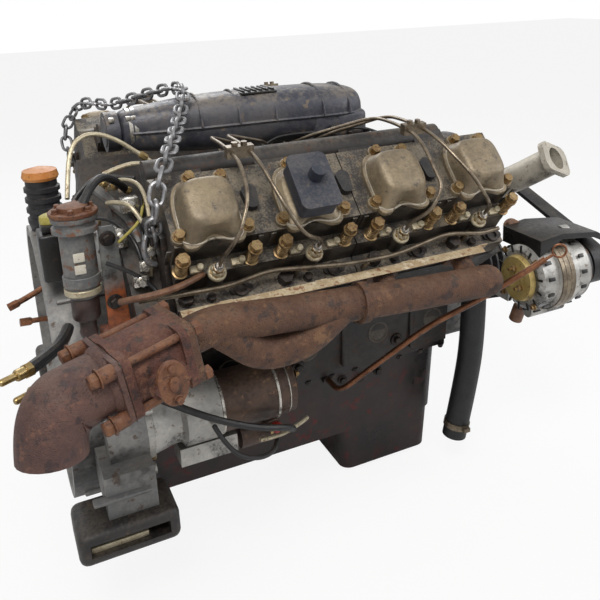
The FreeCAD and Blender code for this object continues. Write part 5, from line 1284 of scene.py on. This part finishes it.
@dataclass
class RearCluster(Assembly):
    """Breather pipe, hoses, fittings, tags and short rods above the flywheel housing."""

    def lines(self) -> None:
        """Lays the pipes and rods, each fixed at both ends."""
        loop = [(62, -170, 372), (67, -152, 392), (78, -132, 440), (96, -118, 466), (131, -102, 470),
                (168, -100, 452), (198, -100, 427), (222, -104, 408), (236, -108, 392)]
        self.sign(hose(loop, 4.2), "breather_loop", "pale_metal")
        ferrule = moved(drum([(0, 6), (3, 7), (14, 7), (17, 5.5)], 6),
                        aimed((206, -101, 421), (0.7, -0.1, -0.6)))
        self.sign(ferrule, "breather_ferrule", "brass")
        rods = [hose([(-45, -158, 194), (-20, -156, 203), (8, -150, 214), (46, -140, 224)], 5.2),
                hose([(-31, -206, 177), (-8, -204, 175), (24, -200, 171), (60, -190, 170)], 4.6)]
        ends = [moved(drum([(0, 7.5), (16, 7.5), (19, 6)], 6), aimed(at, along))
                for at, along in (((-58, -160, 190), (0.9, 0.05, 0.3)),
                                  ((-44, -207, 178), (1, 0.1, -0.1)))]
        self.sign(join(rods + ends), "copper_rods", "tube_copper")
        black = [hose([(24, -300, 190), (8, -400, 214), (-18, -452, 222), (-44, -478, 221)], 9.5),
                 hose([(28, -320, 150), (6, -410, 176), (-10, -462, 190), (-30, -484, 193)], 8.0),
                 hose([(72, -300, 392), (84, -286, 412), (112, -250, 424), (140, -220, 404),
                       (158, -196, 380)], 7.0)]
        self.sign(join(black), "rear_hoses", "rubber")
        ends = [join([drum([(0, 11), (9, 11)], 6), drum([(9, 8.5), (22, 8.5), (24, 7)], 16)])
                for _ in range(2)]
        moved(ends[0], aimed((-42, -477, 221), (-0.85, -0.5, 0)))
        moved(ends[1], aimed((-28, -483, 193), (-0.85, -0.5, 0.05)))
        tips = [moved(drum([(0, 5.2), (24, 5.2), (26, 4)], 14), aimed(at, (-0.85, -0.5, 0)))
                for at in ((-60, -487, 221), (-46, -493, 193))]
        self.sign(join(ends + tips), "rear_fittings", "brass")
        leak = hose([(96, -408, 262), (112, -432, 272), (150, -436, 274), (196, -424, 276),
                     (226, -410, 282)], 5.4)
        self.sign(leak, "return_hose", "hose_brown")

    def boxes(self) -> None:
        """Sets the dark box with its cap, the tags, the canister's band and cap, the unions, and the bleed
        cap with its hose.
        """
        box_piece = join([moved(block((44, 60, 84), 5, 3), put(26, -188, 284)),
                          moved(block((30, 44, 14), 3), put(26, -188, 334))])
        self.sign(box_piece, "relay_box", "tar_black")
        lid = moved(drum([(0, 15), (6, 16), (13, 15), (16, 9)], 22), aimed((26, -190, 340), (0, 0, 1)))
        self.sign(lid, "relay_box_cap", "yellow_plastic")
        tags = [moved(block((17, 2.4, 15), 0.8), put(53, -328.2, z))
                for z in (316, 296)]
        self.sign(join(tags), "blank_tags", "pale_plastic")
        band = drum([(0, 28.6), (1, 29.6), (9, 29.6), (10, 28.6)], 40)
        self.sign(moved(band, aimed((56, -300, 248), (0, 0, 1))), "canister_band", "pale_metal")
        flange = join([drum([(0, 37), (2, 38), (6, 38), (7, 37)], 36),
                       drum([(7, 24), (14, 23), (17, 14)], 30)])
        moved(flange, aimed((56, -300, 380.2), (0, 0, 1)))
        studs = [moved(bolt(10, 5, 6),
                       aimed((56 + 29 * math.cos(a), -300 + 29 * math.sin(a), 387), (0, 0, 1)))
                 for a in [math.tau * k / 6 + 0.3 for k in range(6)]]
        self.sign(join([flange] + studs), "canister_cap", "brake_steel")
        unions = []
        for at, along in (((118, -182, 392), (0.3, -0.9, 0.2)), ((138, -186, 386), (0.2, -0.9, 0.3)),
                          ((160, -184, 376), (0.1, -0.9, 0.2))):
            piece = join([drum([(-34, 5), (0, 5)], 14), drum([(0, 8), (11, 8)], 6),
                          drum([(11, 6), (19, 6), (21, 4)], 14)])
            unions.append(moved(piece, aimed(at, along)))
        self.sign(join(unions), "fuel_unions", "brass")
        cap = moved(drum([(0, 10), (12, 10), (14, 8)], 6), aimed((186, -222, 368), (0.1, -0.8, 0.5)))
        self.sign(cap, "bleed_cap", "yellow_plastic")
        thin = hose([(184, -214, 362), (172, -262, 366), (158, -300, 352), (138, -304, 336),
                     (118, -304, 322)], 2.6)
        self.sign(thin, "bleed_hose", "yellow_plastic")

    def build(self) -> None:
        """Builds the lines and the boxes."""
        self.lines()
        self.boxes()


@dataclass
class BlockDress(Assembly):
    """Plugs, bosses, ribs and pan bolts of the crankcase and the sump."""

    pan: tuple[float, float] = (150.0, 830.0)

    def build(self, nodes: dict[str, bpy.types.Object]) -> None:
        """Seats each detail on the solid that it meets.

        Args:
            nodes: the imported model's nodes.
        """
        block_node, sump = nodes["crankcase"], nodes["sump"]
        cups, ribs, bosses, bolts = [], [], [], []
        for side in (-1, 1):
            away = (0, side, 0)
            for x in (318, 488, 658, 800):
                at = met(block_node, (x, side * 600, -20), (0, -side, 0))
                if at:
                    cup = drum([(-2, 25), (1.2, 25), (2.2, 23.6), (1.8, 21), (0.4, 19.5)], 32)
                    cups.append(moved(cup, aimed(tuple(at), away)))
            for x in (232, 403, 573, 743):
                at = met(block_node, (x, side * 600, -20), (0, -side, 0))
                if at:
                    ribs.append(moved(block((13, 14, 118), 3.5, 3),
                                      put(x, at.y, -20)))
            for x, z in ((465, -53), (350, -60), (705, -50), (280, -66), (605, 30), (540, 22), (430, 34)):
                at = met(block_node, (x, side * 600, z), (0, -side, 0))
                if at:
                    boss = join([drum([(-4, 15), (4, 14), (5, 13)], 24),
                                 drum([(5, 8.5), (12, 8.5), (13.5, 7)], 6)])
                    bosses.append(moved(boss, aimed(tuple(at), away)))
            start, end = self.pan
            for k in range(13):
                x = start + (end - start) * k / 12
                at = met(sump, (x, side * 184, -300), (0, 0, 1))
                if at:
                    bolts.append(moved(bolt(12, 7, 8), aimed(tuple(at), (0, 0, -1))))
            for x, z in ((623, -136), (669, -130), (579, -128), (457, -122)):
                at = met(sump, (x, side * 600, z), (0, -side, 0))
                if at:
                    boss = join([drum([(-4, 11), (3, 11), (4, 10)], 22), drum([(4, 7.5), (10, 7.5)], 6)])
                    bosses.append(moved(boss, aimed(tuple(at), away)))
        self.sign(join(cups), "core_plugs", "gasket_steel")
        self.sign(join(ribs), "crankcase_ribs", "block_paint")
        self.sign(join(bosses), "gallery_plugs", "black_bolts")
        if bolts:
            self.sign(join(bolts), "pan_bolts", "black_bolts")


@dataclass
class FrontDress(Assembly):
    """Bolts and ribs of the timing case, the shroud over the alternator and the front fittings."""

    def build(self, nodes: dict[str, bpy.types.Object]) -> None:
        """Seats bolts and ribs on the case's face.

        Args:
            nodes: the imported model's nodes.
        """
        case = nodes["timing_case"]
        edge = [(-172, -70), (-174, -20), (-174, 30), (-172, 88), (-152, 150), (-138, 214),
                (-84, 284), (-30, 288), (30, 288), (84, 284), (138, 214), (152, 150), (172, 88),
                (174, 30), (174, -20), (172, -70), (110, -72), (50, -76), (-50, -76), (-110, -72)]
        heads = []
        for y, z in edge:
            at = met(case, (1200, y, z), (-1, 0, 0))
            if at:
                heads.append(moved(bolt(15, 8, 10), aimed(tuple(at), (1, 0, 0))))
        self.sign(join(heads), "case_bolts", "black_bolts")
        ribs = []
        for y in (-140, -96, 96, 140):
            at = met(case, (1200, y, 40), (-1, 0, 0))
            if at:
                ribs.append(moved(block((9, 6, 150), 2), put(at.x, y, 40)))
        if ribs:
            self.sign(join(ribs), "case_ribs", "block_paint")
        outline = [(903, 172), (903, 206), (960, 212), (1052, 200), (1080, 184), (1080, 172), (1052, 188),
                   (960, 200)]
        shroud = plate([outline], 118, 1.0)
        moved(shroud, put(0, -366, 8) @ UPRIGHT)
        self.sign(shroud, "belt_shroud", "tar_black")
        big = moved(join([drum([(0, 15), (12, 15), (14, 13)], 6), drum([(-3, 19), (0, 19)], 24)]),
                    aimed((930, -304, 206), (-0.2, -0.8, 0.55)))
        self.sign(big, "thermostat_union", "hose_brown")
        relay = moved(drum([(-20, 15), (16, 15), (19, 12)], 26), aimed((959, -300, -1), (0.1, -0.3, 1)))
        self.sign(relay, "tensioner_bush", "hose_brown")
        domes = []
        for at, radius in (((1003, 60, 316), 40), ((966, -30, 300), 34)):
            dome = drum([(-30, radius), (6, radius), (16, radius * 0.92), (24, radius * 0.7),
                         (28, radius * 0.35)], 36)
            domes.append(moved(dome, aimed(at, (0, 0, 1))))
        self.sign(join(domes), "thermostat_domes", "duct_paint")


@dataclass
class TopWires(Assembly):
    """Cables, connectors and sleeves in the valley and along the heads."""

    def build(self) -> None:
        """Lays the wires, each between two fittings."""
        black = [hose([(372, -72, 330), (400, -110, 372), (446, -126, 398), (482, -120, 403),
                       (560, -96, 412), (636, -72, 418), (690, -60, 396)], 3.6),
                 hose([(640, -70, 414), (672, -92, 420), (720, -104, 404), (790, -100, 360),
                       (850, -96, 330)], 3.2),
                 hose([(420, -96, 380), (470, -88, 414), (520, -92, 421), (575, -90, 418)], 2.6)]
        self.sign(join(black), "valley_cables", "cable_black")
        red = hose([(640, -66, 412), (668, -62, 410), (697, -62, 404), (716, -70, 384), (722, -84, 352)],
                   2.4)
        self.sign(red, "sensor_wire", "cable_red")
        boots = []
        for at, along in (((612, -86, 419), (0.9, 0.2, 0.1)), ((640, -76, 418), (0.9, 0.3, 0)),
                          ((470, -122, 402), (1, 0, 0))):
            boot = drum([(0, 5), (3, 8), (14, 8), (17, 6.5), (20, 7.5), (26, 7.5), (28, 5)], 16)
            boots.append(moved(boot, aimed(at, along)))
        self.sign(join(boots), "connector_boots", "rubber")


@dataclass
class HousingDress(Assembly):
    """Bolts and ribs of the flywheel housing."""

    radius: float = 265.1

    def build(self, nodes: dict[str, bpy.types.Object]) -> None:
        """Seats bolt heads round the rim and ribs on the wall.

        Args:
            nodes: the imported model's nodes.
        """
        housing = nodes["flywheel_housing"]
        heads, ribs = [], []
        for k in range(18):
            angle = math.tau * (k + 0.25) / 18
            y, z = self.radius * math.cos(angle), self.radius * math.sin(angle)
            at = met(housing, (600, y, z), (-1, 0, 0))
            if at and at.x > 90:
                heads.append(moved(bolt(17, 9, 11), aimed(tuple(at), (1, 0, 0))))
        for k in range(12):
            angle = math.tau * (k + 0.5) / 12
            out = (0, math.cos(angle), math.sin(angle))
            at = met(housing, (62, 900 * out[1], 900 * out[2]), (0, -out[1], -out[2]))
            if at:
                turn = Matrix(((1, 0, 0), (0, out[2], out[1]), (0, -out[1], out[2]))).to_4x4()
                ribs.append(moved(block((96, 8, 16), 2.4),
                                  put(66, at.y, at.z) @ turn))
        self.sign(join(heads), "housing_bolts", "plated_bolts")
        self.sign(join(ribs), "housing_ribs", "housing_iron")


@dataclass
class RockerCovers(Assembly):
    """Cast rocker covers: a wavy flange with bolt ears, and a dome that rounds off above it."""

    ears: tuple[tuple[float, float], ...] = ((-55, -50), (55, -51), (-15, 50), (36, 45))
    middle: tuple[float, float] = (-1.0, -13.0)
    crown: tuple[float, float] = (45.0, 47.0)
    flange: tuple[tuple[float, float], ...] = ((0.0, 1.0), (8.0, 1.0), (9.0, 0.985), (9.4, 0.92),
                                               (10.6, 0.905))
    top: tuple[tuple[float, float], ...] = ((42.0, 0.9), (45.6, 0.84), (48.0, 0.74), (49.4, 0.6),
                                            (50.2, 0.4), (50.6, 0.2), (50.7, 0.04))

    def tier(self, loop: Sequence[tuple[float, float]], stations: Sequence[tuple[float, float]],
             open_face: int) -> bpy.types.Object:
        """Returns a body extruded and resized from a loop, with one end left open.

        Args:
            loop: the outline in millimetres.
            stations: (height, scale about the middle), from the bottom up.
            open_face: 1 where the top is open, -1 where the bottom is.
        """
        curve = bpy.data.curves.new("loop", "CURVE")
        curve.dimensions = "2D"
        curve.fill_mode = "NONE"
        spline = curve.splines.new("POLY")
        spline.points.add(len(loop) - 1)
        for point, (x, y) in zip(spline.points, loop):
            point.co = (x * MM, y * MM, 0, 1)
        spline.use_cyclic_u = True
        clear()
        piece = to_mesh(curve)
        height, scale = stations[0]
        centre = (self.middle[0] * MM, self.middle[1] * MM, 0)
        pick_points(piece, lambda spot: True)
        bpy.ops.mesh.edge_face_add()
        bpy.ops.transform.resize(value=(scale, scale, 1), center_override=centre)
        bpy.ops.transform.translate(value=(0, 0, height * MM))
        for (low, old), (high, new) in zip(stations, stations[1:]):
            bpy.ops.mesh.extrude_region_move(TRANSFORM_OT_translate={"value": (0, 0, (high - low) * MM)})
            bpy.ops.transform.resize(value=(new / old, new / old, 1), center_override=centre)
        bpy.ops.object.mode_set(mode="OBJECT")
        level = (stations[-1] if open_face > 0 else stations[0])[0] * MM
        pick(piece, lambda face: abs(face.center.z - level) < 1e-5 and len(face.vertices) > 8)
        bpy.ops.mesh.delete(type="ONLY_FACE")
        bpy.ops.object.mode_set(mode="OBJECT")
        return piece

    def one(self, lift: float = 1.0) -> bpy.types.Object:
        """Returns a cover that stands on the origin: the flange and the crown, bridged by the skirt.

        Args:
            lift: how high the dome is, against the full one.
        """
        wavy = [(spot.x, spot.y) for spot in flowing([(x, y, 0) for x, y in COVER_OUTLINE], True, 8)]
        (half_x, half_y), power, crown = self.crown, 3.4, []
        for x, y in wavy:
            angle = math.atan2(y - self.middle[1], x - self.middle[0])
            across, up = math.cos(angle), math.sin(angle)
            far = (abs(across / half_x) ** power + abs(up / half_y) ** power) ** (-1 / power)
            crown.append((self.middle[0] + far * across, self.middle[1] + far * up))
        rise = [(9.5 + (height - 9.5) * lift, scale) for height, scale in self.top]
        shell = join([self.tier(wavy, self.flange, 1), self.tier(crown, rise, -1)])
        only(shell)
        bpy.ops.object.mode_set(mode="EDIT")
        bpy.ops.mesh.select_mode(type="EDGE")
        bpy.ops.mesh.select_all(action="DESELECT")
        bpy.ops.mesh.select_non_manifold()
        bpy.ops.mesh.bridge_edge_loops(number_cuts=6, interpolation="LINEAR")
        bpy.ops.mesh.select_all(action="SELECT")
        bpy.ops.mesh.normals_make_consistent(inside=False)
        bpy.ops.object.mode_set(mode="OBJECT")
        ears = [moved(drum([(0, 12.4), (8, 12.4), (9, 11.4)], 28), put(x, w, 0))
                for x, w in self.ears]
        return join([shell] + ears)

    def build(self) -> None:
        """Sets four covers on each bank, the low one under the breather box."""
        for bank, name in ((Bank.RIGHT, "rocker_covers_right"), (Bank.LEFT, "rocker_covers_left")):
            low = CYLINDERS[1] if bank is Bank.RIGHT else None
            made = copies(self.one(), [bank_place(bank, x, 0, COVER_PLANE) for x in CYLINDERS if x != low])
            if low:
                made += copies(self.one(0.29), [bank_place(bank, low, 0, COVER_PLANE)])
            self.sign(join(made), f"cast_{name}", "cover_aluminium", stands_for=[name])


@dataclass
class LiftingChain(Assembly):
    """Round-bar chain from one head to the other, with its eye plates and pins."""

    route: tuple[Triple, ...] = ((166.5, -356, 330), (163, -386, 372), (178, -380, 432), (211, -318, 462),
                                 (250, -212, 474), (286, -116, 490), (316, -30, 519), (316, 40, 519),
                                 (280, 130, 500), (220, 240, 470), (168, 336, 462), (130, 381, 402),
                                 (128, 366, 350), (131, 356, 330))
    count: int = 39
    half_length: float = 17.6
    half_width: float = 11.2
    bar: float = 3.5

    def link(self) -> bpy.types.Object:
        """Returns one link, a ring drawn out along X."""
        clear()
        bpy.ops.mesh.primitive_torus_add(major_segments=24, minor_segments=8,
                                         major_radius=self.half_width * MM, minor_radius=self.bar * MM)
        piece = bpy.context.active_object
        stretch = (self.half_length - self.half_width) * MM
        for side in (-1, 1):
            pick_points(piece, lambda spot: spot.x * side > 0.5 * MM)
            bpy.ops.transform.translate(value=(side * stretch, 0, 0))
            bpy.ops.object.mode_set(mode="OBJECT")
        return piece

    def build(self) -> None:
        """Threads the links along the route and fixes the ends."""
        line = flowing(self.route, False, 30)
        marks = [0.0]
        for before, after in zip(line, line[1:]):
            marks.append(marks[-1] + (after - before).length)

        def spot(length: float) -> Vector:
            """Returns the point this far along the line."""
            k = max(j for j in range(len(marks)) if marks[j] <= length + 1e-9)
            k = min(k, len(line) - 2)
            share = (length - marks[k]) / (marks[k + 1] - marks[k])
            return line[k].lerp(line[k + 1], share)

        step = marks[-1] / self.count
        places = []
        for number in range(self.count):
            start, middle, end = (spot((number + part) * step) for part in (0.0, 0.5, 1.0))
            along = (end - start).normalized()
            side = (Vector((1, 0, 0)) - along * along.x).normalized()
            up = along.cross(side)
            turn = Matrix((along, side, up)).transposed().to_4x4()
            roll = Matrix.Rotation(math.pi / 2 * (1 + number % 2), 4, "X")
            places.append(Matrix.Translation(middle * MM) @ turn @ roll)
        links = copies(self.link(), places)
        self.sign(join(links), "chain_links", "chain_steel", stands_for=["lifting_chain"])
        eyes = []
        turn = Matrix(((0, 0, 1), (1, 0, 0), (0, 1, 0))).to_4x4()
        for face, side, end in ((181, -1, places[0]), (146, 1, places[-1])):
            outline = [(side * y, z)
                       for y, z in ((402, 208), (362, 208), (334, 314), (344, 348), (376, 340))]
            eyes.append(moved(plate([outline], 10, 1.5), put(face - 5, 0, 0) @ turn))
            eyes.append(moved(bolt(21, 11, 14), aimed((face - 10, side * 380, 226), (-1, 0, 0))))
            at = end.translation / MM
            pin = join([drum([(-14, 5.4), (2, 5.4)], 18), drum([(2, 11), (6, 11), (8, 9)], 6)])
            eyes.append(moved(pin, aimed((face - 16, at.y, at.z - 4), (-1, 0, 0))))
        self.sign(join(eyes), "lifting_eyes", "black_bolts", slot="chain_steel")


@dataclass
class Elbow(Assembly):
    """The open exhaust elbow with its flange, and the cover over the butterfly's spindle."""

    path: tuple[Triple, ...] = ((58, -541.8, 213), (16, -552.5, 207), (-31, -565, 200), (-35, -573, 139))
    radius: float = 46.0
    wall: float = 4.0

    def build(self, brake: BrakeHardware) -> None:
        """Bends the pipe, opens its end and sets the flange.

        Args:
            brake: the brake that it is bolted to.
        """
        pipe = hose(self.path, self.radius, fine=10, steps=20)
        end = Vector(self.path[-1]) * MM
        ahead = (end - Vector(self.path[-2]) * MM).normalized()
        pick(pipe, lambda face: (face.center - end).dot(ahead) > -0.0005 and face.normal.dot(ahead) > 0.95)
        bpy.ops.mesh.delete(type="FACE")
        bpy.ops.object.mode_set(mode="OBJECT")
        thick = pipe.modifiers.new("wall", "SOLIDIFY")
        thick.thickness, thick.offset = self.wall * MM, -1.0
        only(pipe)
        bpy.ops.object.modifier_apply(modifier=thick.name)
        place = brake.place()
        hole = circle(44, 36)
        outline = [(-56, -40), (-48, -48), (48, -48), (56, -40), (56, 40), (48, 48), (-48, 48), (-56, 40)]
        flange = moved(plate([outline, hole], 8, 1.2), place @ put(0, 0, 103))
        collar = moved(drum([(106, 52), (112, 50), (116, 46.6)], 48), place)
        self.sign(join([pipe, flange, collar]), "open_elbow", "elbow_iron", stands_for=["exhaust_elbow"])
        disc = join([drum([(0, 25), (3, 26), (7, 26), (8.5, 24.5)], 40),
                     drum([(8, 9), (11, 9), (12, 7)], 24)])
        sized(disc, (0.86, 1.3, 1))
        studs = copies(bolt(11, 6, 7), [put(0, y, 8) for y in (-25.0, 25.0)])
        turn = place @ put(77.5, 0, 49) @ Matrix.Rotation(math.pi / 2, 4, "Y")
        self.sign(moved(join([disc] + studs), turn), "spindle_cover", "brake_steel", slot="brake_iron")


@dataclass
class Feet(Assembly):
    """Rubber-lined mounting feet, each an open frame with a block in its slot."""

    top: float = -140.0
    size: Triple = (170.0, 110.0, 62.0)

    def build(self) -> None:
        """Sets a foot on each side."""
        frames, cores, bolts = [], [], []
        for side in (-1, 1):
            frame_piece = block(self.size, 15, 4)
            pick(frame_piece, lambda face: face.normal.y * side > 0.999 and face.area > 0.002)
            bpy.ops.mesh.inset(thickness=0.001)
            bpy.ops.mesh.inset(thickness=0.003)
            bpy.ops.mesh.extrude_region_move(TRANSFORM_OT_translate={"value": (0, -side * 0.078, 0)})
            bpy.ops.object.mode_set(mode="OBJECT")
            at = put(69, side * 340, self.top - self.size[2] / 2)
            frames.append(moved(frame_piece, at))
            cores.append(moved(block((96, 60, 13), 2.5), put(52, side * 352, self.top - 40)))
            bolts += [moved(bolt(21, 10, 15), aimed((x, side * 340, self.top - self.size[2]), (0, 0, -1)))
                      for x in (60, 120)]
        self.sign(join(frames + bolts), "rubber_feet", "foot_iron", stands_for=["engine_feet"])
        self.sign(join(cores), "foot_cores", "pale_metal")


@dataclass
class Canister(Assembly):
    """The filter canister with its boot, band and plate bracket."""

    x: float = 56.0
    y: float = -300.0

    def build(self) -> None:
        """Builds the canister and its bracket."""
        shell = drum([(240, 20), (243, 24), (249, 27), (351, 27), (352.5, 34), (354, 36), (361, 36),
                      (363, 31.5), (369, 31.5), (371, 35), (373, 36), (379, 36), (380, 35)], 48)
        band = drum([(262, 28.4), (263, 29.4), (279, 29.4), (280, 28.4)], 48)
        piece = moved(join([shell, band]), put(self.x, self.y, 0))
        self.sign(piece, "canister", "filter_paint", stands_for=["fuel_filter"])
        boot = drum([(168, 12), (172, 14), (180, 15), (184, 13.4), (199, 14), (202, 20), (206, 22.5),
                     (236, 22.5), (240, 20)], 36)
        self.sign(moved(boot, put(self.x, self.y, 0)), "canister_boot", "boot_brown")
        outline = [(88, 352), (92, 355), (111, 355), (115, 350), (124, 150), (86, 150)]
        back = moved(plate([outline], 6, 1.0), put(0, -309, 0) @ UPRIGHT)
        strip = moved(block((30, 6, 18), 1.5), put(96, -303, 271))
        foot = moved(block((40, 60, 12), 2), put(98, -280, 156))
        pad = moved(block((40, 44, 118), 3), put(98, -272, 99))
        self.sign(join([back, strip, foot, pad]), "canister_bracket", "bracket_steel")
        heads = [moved(bolt(19, 10, 13), aimed((101, -312, z), (0, -1, 0))) for z in (335, 225)]
        self.sign(join(heads), "bracket_bolts", "black_bolts")


@dataclass
class RearPlumbing(Assembly):
    """The tangle of pipes, unions and brackets between the housing and the right-hand head."""

    def build(self) -> None:
        """Builds the pipes and what they end in."""
        pale = [hose([(150, -190, 398), (168, -226, 404), (176, -268, 390), (174, -300, 352),
                      (168, -318, 302), (160, -326, 262)], 3.6),
                hose([(118, -236, 372), (136, -268, 380), (152, -296, 372), (164, -306, 340)], 4.0),
                hose([(128, -160, 404), (168, -168, 420), (206, -160, 414), (238, -140, 398)], 4.4)]
        self.sign(join(pale), "bleed_pipes", "pale_metal")
        big = [hose([(100, -206, 396), (118, -212, 380), (140, -222, 352), (158, -240, 330),
                     (160, -262, 300)], 9.5),
               hose([(96, -250, 300), (124, -262, 282), (150, -282, 262), (160, -300, 220),
                     (150, -304, 170)], 8.5)]
        self.sign(join(big), "water_tubes", "filter_paint")
        dark = [hose([(176, -236, 384), (160, -300, 332), (148, -322, 272), (142, -306, 196)], 2.2),
                hose([(92, -330, 300), (120, -338, 286), (150, -342, 262), (166, -352, 240),
                      (176, -380, 212)], 3.4),
                hose([(84, -210, 340), (110, -240, 352), (140, -280, 330), (152, -318, 296),
                      (150, -330, 230)], 3.0),
                hose([(70, -190, 372), (96, -176, 400), (140, -170, 402), (176, -190, 396)], 5.0)]
        self.sign(join(dark), "rear_cables", "cable_black")
        blocks = []
        for at, size in (((142, -334, 262), (26, 18, 20)), ((150, -336, 286), (18, 14, 16)),
                         ((152, -250, 368), (30, 22, 26)), ((128, -262, 318), (22, 30, 34))):
            blocks.append(moved(block(size, 3), put(*at)))
        for at, along in (((142, -343, 262), (0, -1, 0)), ((150, -343, 287), (0, -1, 0)),
                          ((152, -262, 372), (0, -1, 0.3)), ((128, -278, 322), (0.2, -1, 0)),
                          ((166, -318, 300), (0, -1, 0.2))):
            blocks.append(moved(bolt(14, 9, 9), aimed(at, along)))
        self.sign(join(blocks), "union_blocks", "bright_steel")
        dome = drum([(-8, 14), (6, 14), (11, 12), (14, 7)], 26)
        nut = drum([(-16, 12), (-6, 12)], 6)
        self.sign(moved(join([dome, nut]), aimed((171, -302, 342), (-0.2, -0.8, 0.5))), "domed_plug",
                  "tar_black")
        bow = hose([(160, -356, 352), (150, -362, 338), (146, -366, 318), (152, -370, 300),
                    (163, -366, 296)], 4.6)
        self.sign(bow, "shackle", "chain_steel")


@dataclass
class FlywheelDress(Assembly):
    """The crankshaft bolts, spigot hub and clutch bolts on the back of the flywheel."""

    recess: float = 42.0
    face: float = 28.0

    def build(self) -> None:
        """Seats the bolts in their rings, on the turning crankshaft."""
        heads = []
        for count, radius, x, across in ((8, 62.0, self.recess, 19), (12, 205.0, self.face, 13)):
            for k in range(count):
                angle = math.tau * k / count
                at = (x, radius * math.cos(angle), radius * math.sin(angle))
                heads.append(moved(bolt(across, 8, across * 0.62), aimed(at, (-1, 0, 0))))
        self.sign(join(heads), "flywheel_bolts", "black_bolts", body="crank_train")
        hub = drum([(0, 40), (6, 40), (8, 38), (8, 22), (2, 20), (1, 4)], 48)
        self.sign(moved(hub, aimed((self.recess, 0, 0), (-1, 0, 0))), "spigot_hub", "gear_steel",
                  body="crank_train")


def main() -> None:
    """Loads the frame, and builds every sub-assembly in order."""
    logging.basicConfig(level=logging.INFO, format="%(name)s: %(message)s")
    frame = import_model()
    nodes = frame["nodes"]
    plain_box = [list(corner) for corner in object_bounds()]
    RECORD_SLOTS.update(slot.material.name.split(".")[0]
                        for node in nodes.values() for slot in node.material_slots)
    finishes = Finishes()
    portrait = Portrait()
    portrait.camera()
    CoolantHose(finishes).build(nodes)
    finishes.dress_nodes(nodes)
    RockerCovers(finishes).build()
    LiftingChain(finishes).build()
    Feet(finishes).build()
    Canister(finishes).build()
    RearPlumbing(finishes).build()
    TensionSprings(finishes).build()
    CoverTrim(finishes).build()
    Unions(finishes).build()
    IntakeDuct(finishes).build()
    brake = BrakeHardware(finishes)
    brake.build()
    Elbow(finishes).build(brake)
    Alternator(finishes).build()
    StarterDress(finishes).build()
    RearCluster(finishes).build()
    BlockDress(finishes).build(nodes)
    FrontDress(finishes).build(nodes)
    TopWires(finishes).build()
    HousingDress(finishes).build(nodes)
    FlywheelDress(finishes).build()
    portrait.build(plain_box[0][2])


if __name__ == "__main__":
    main()
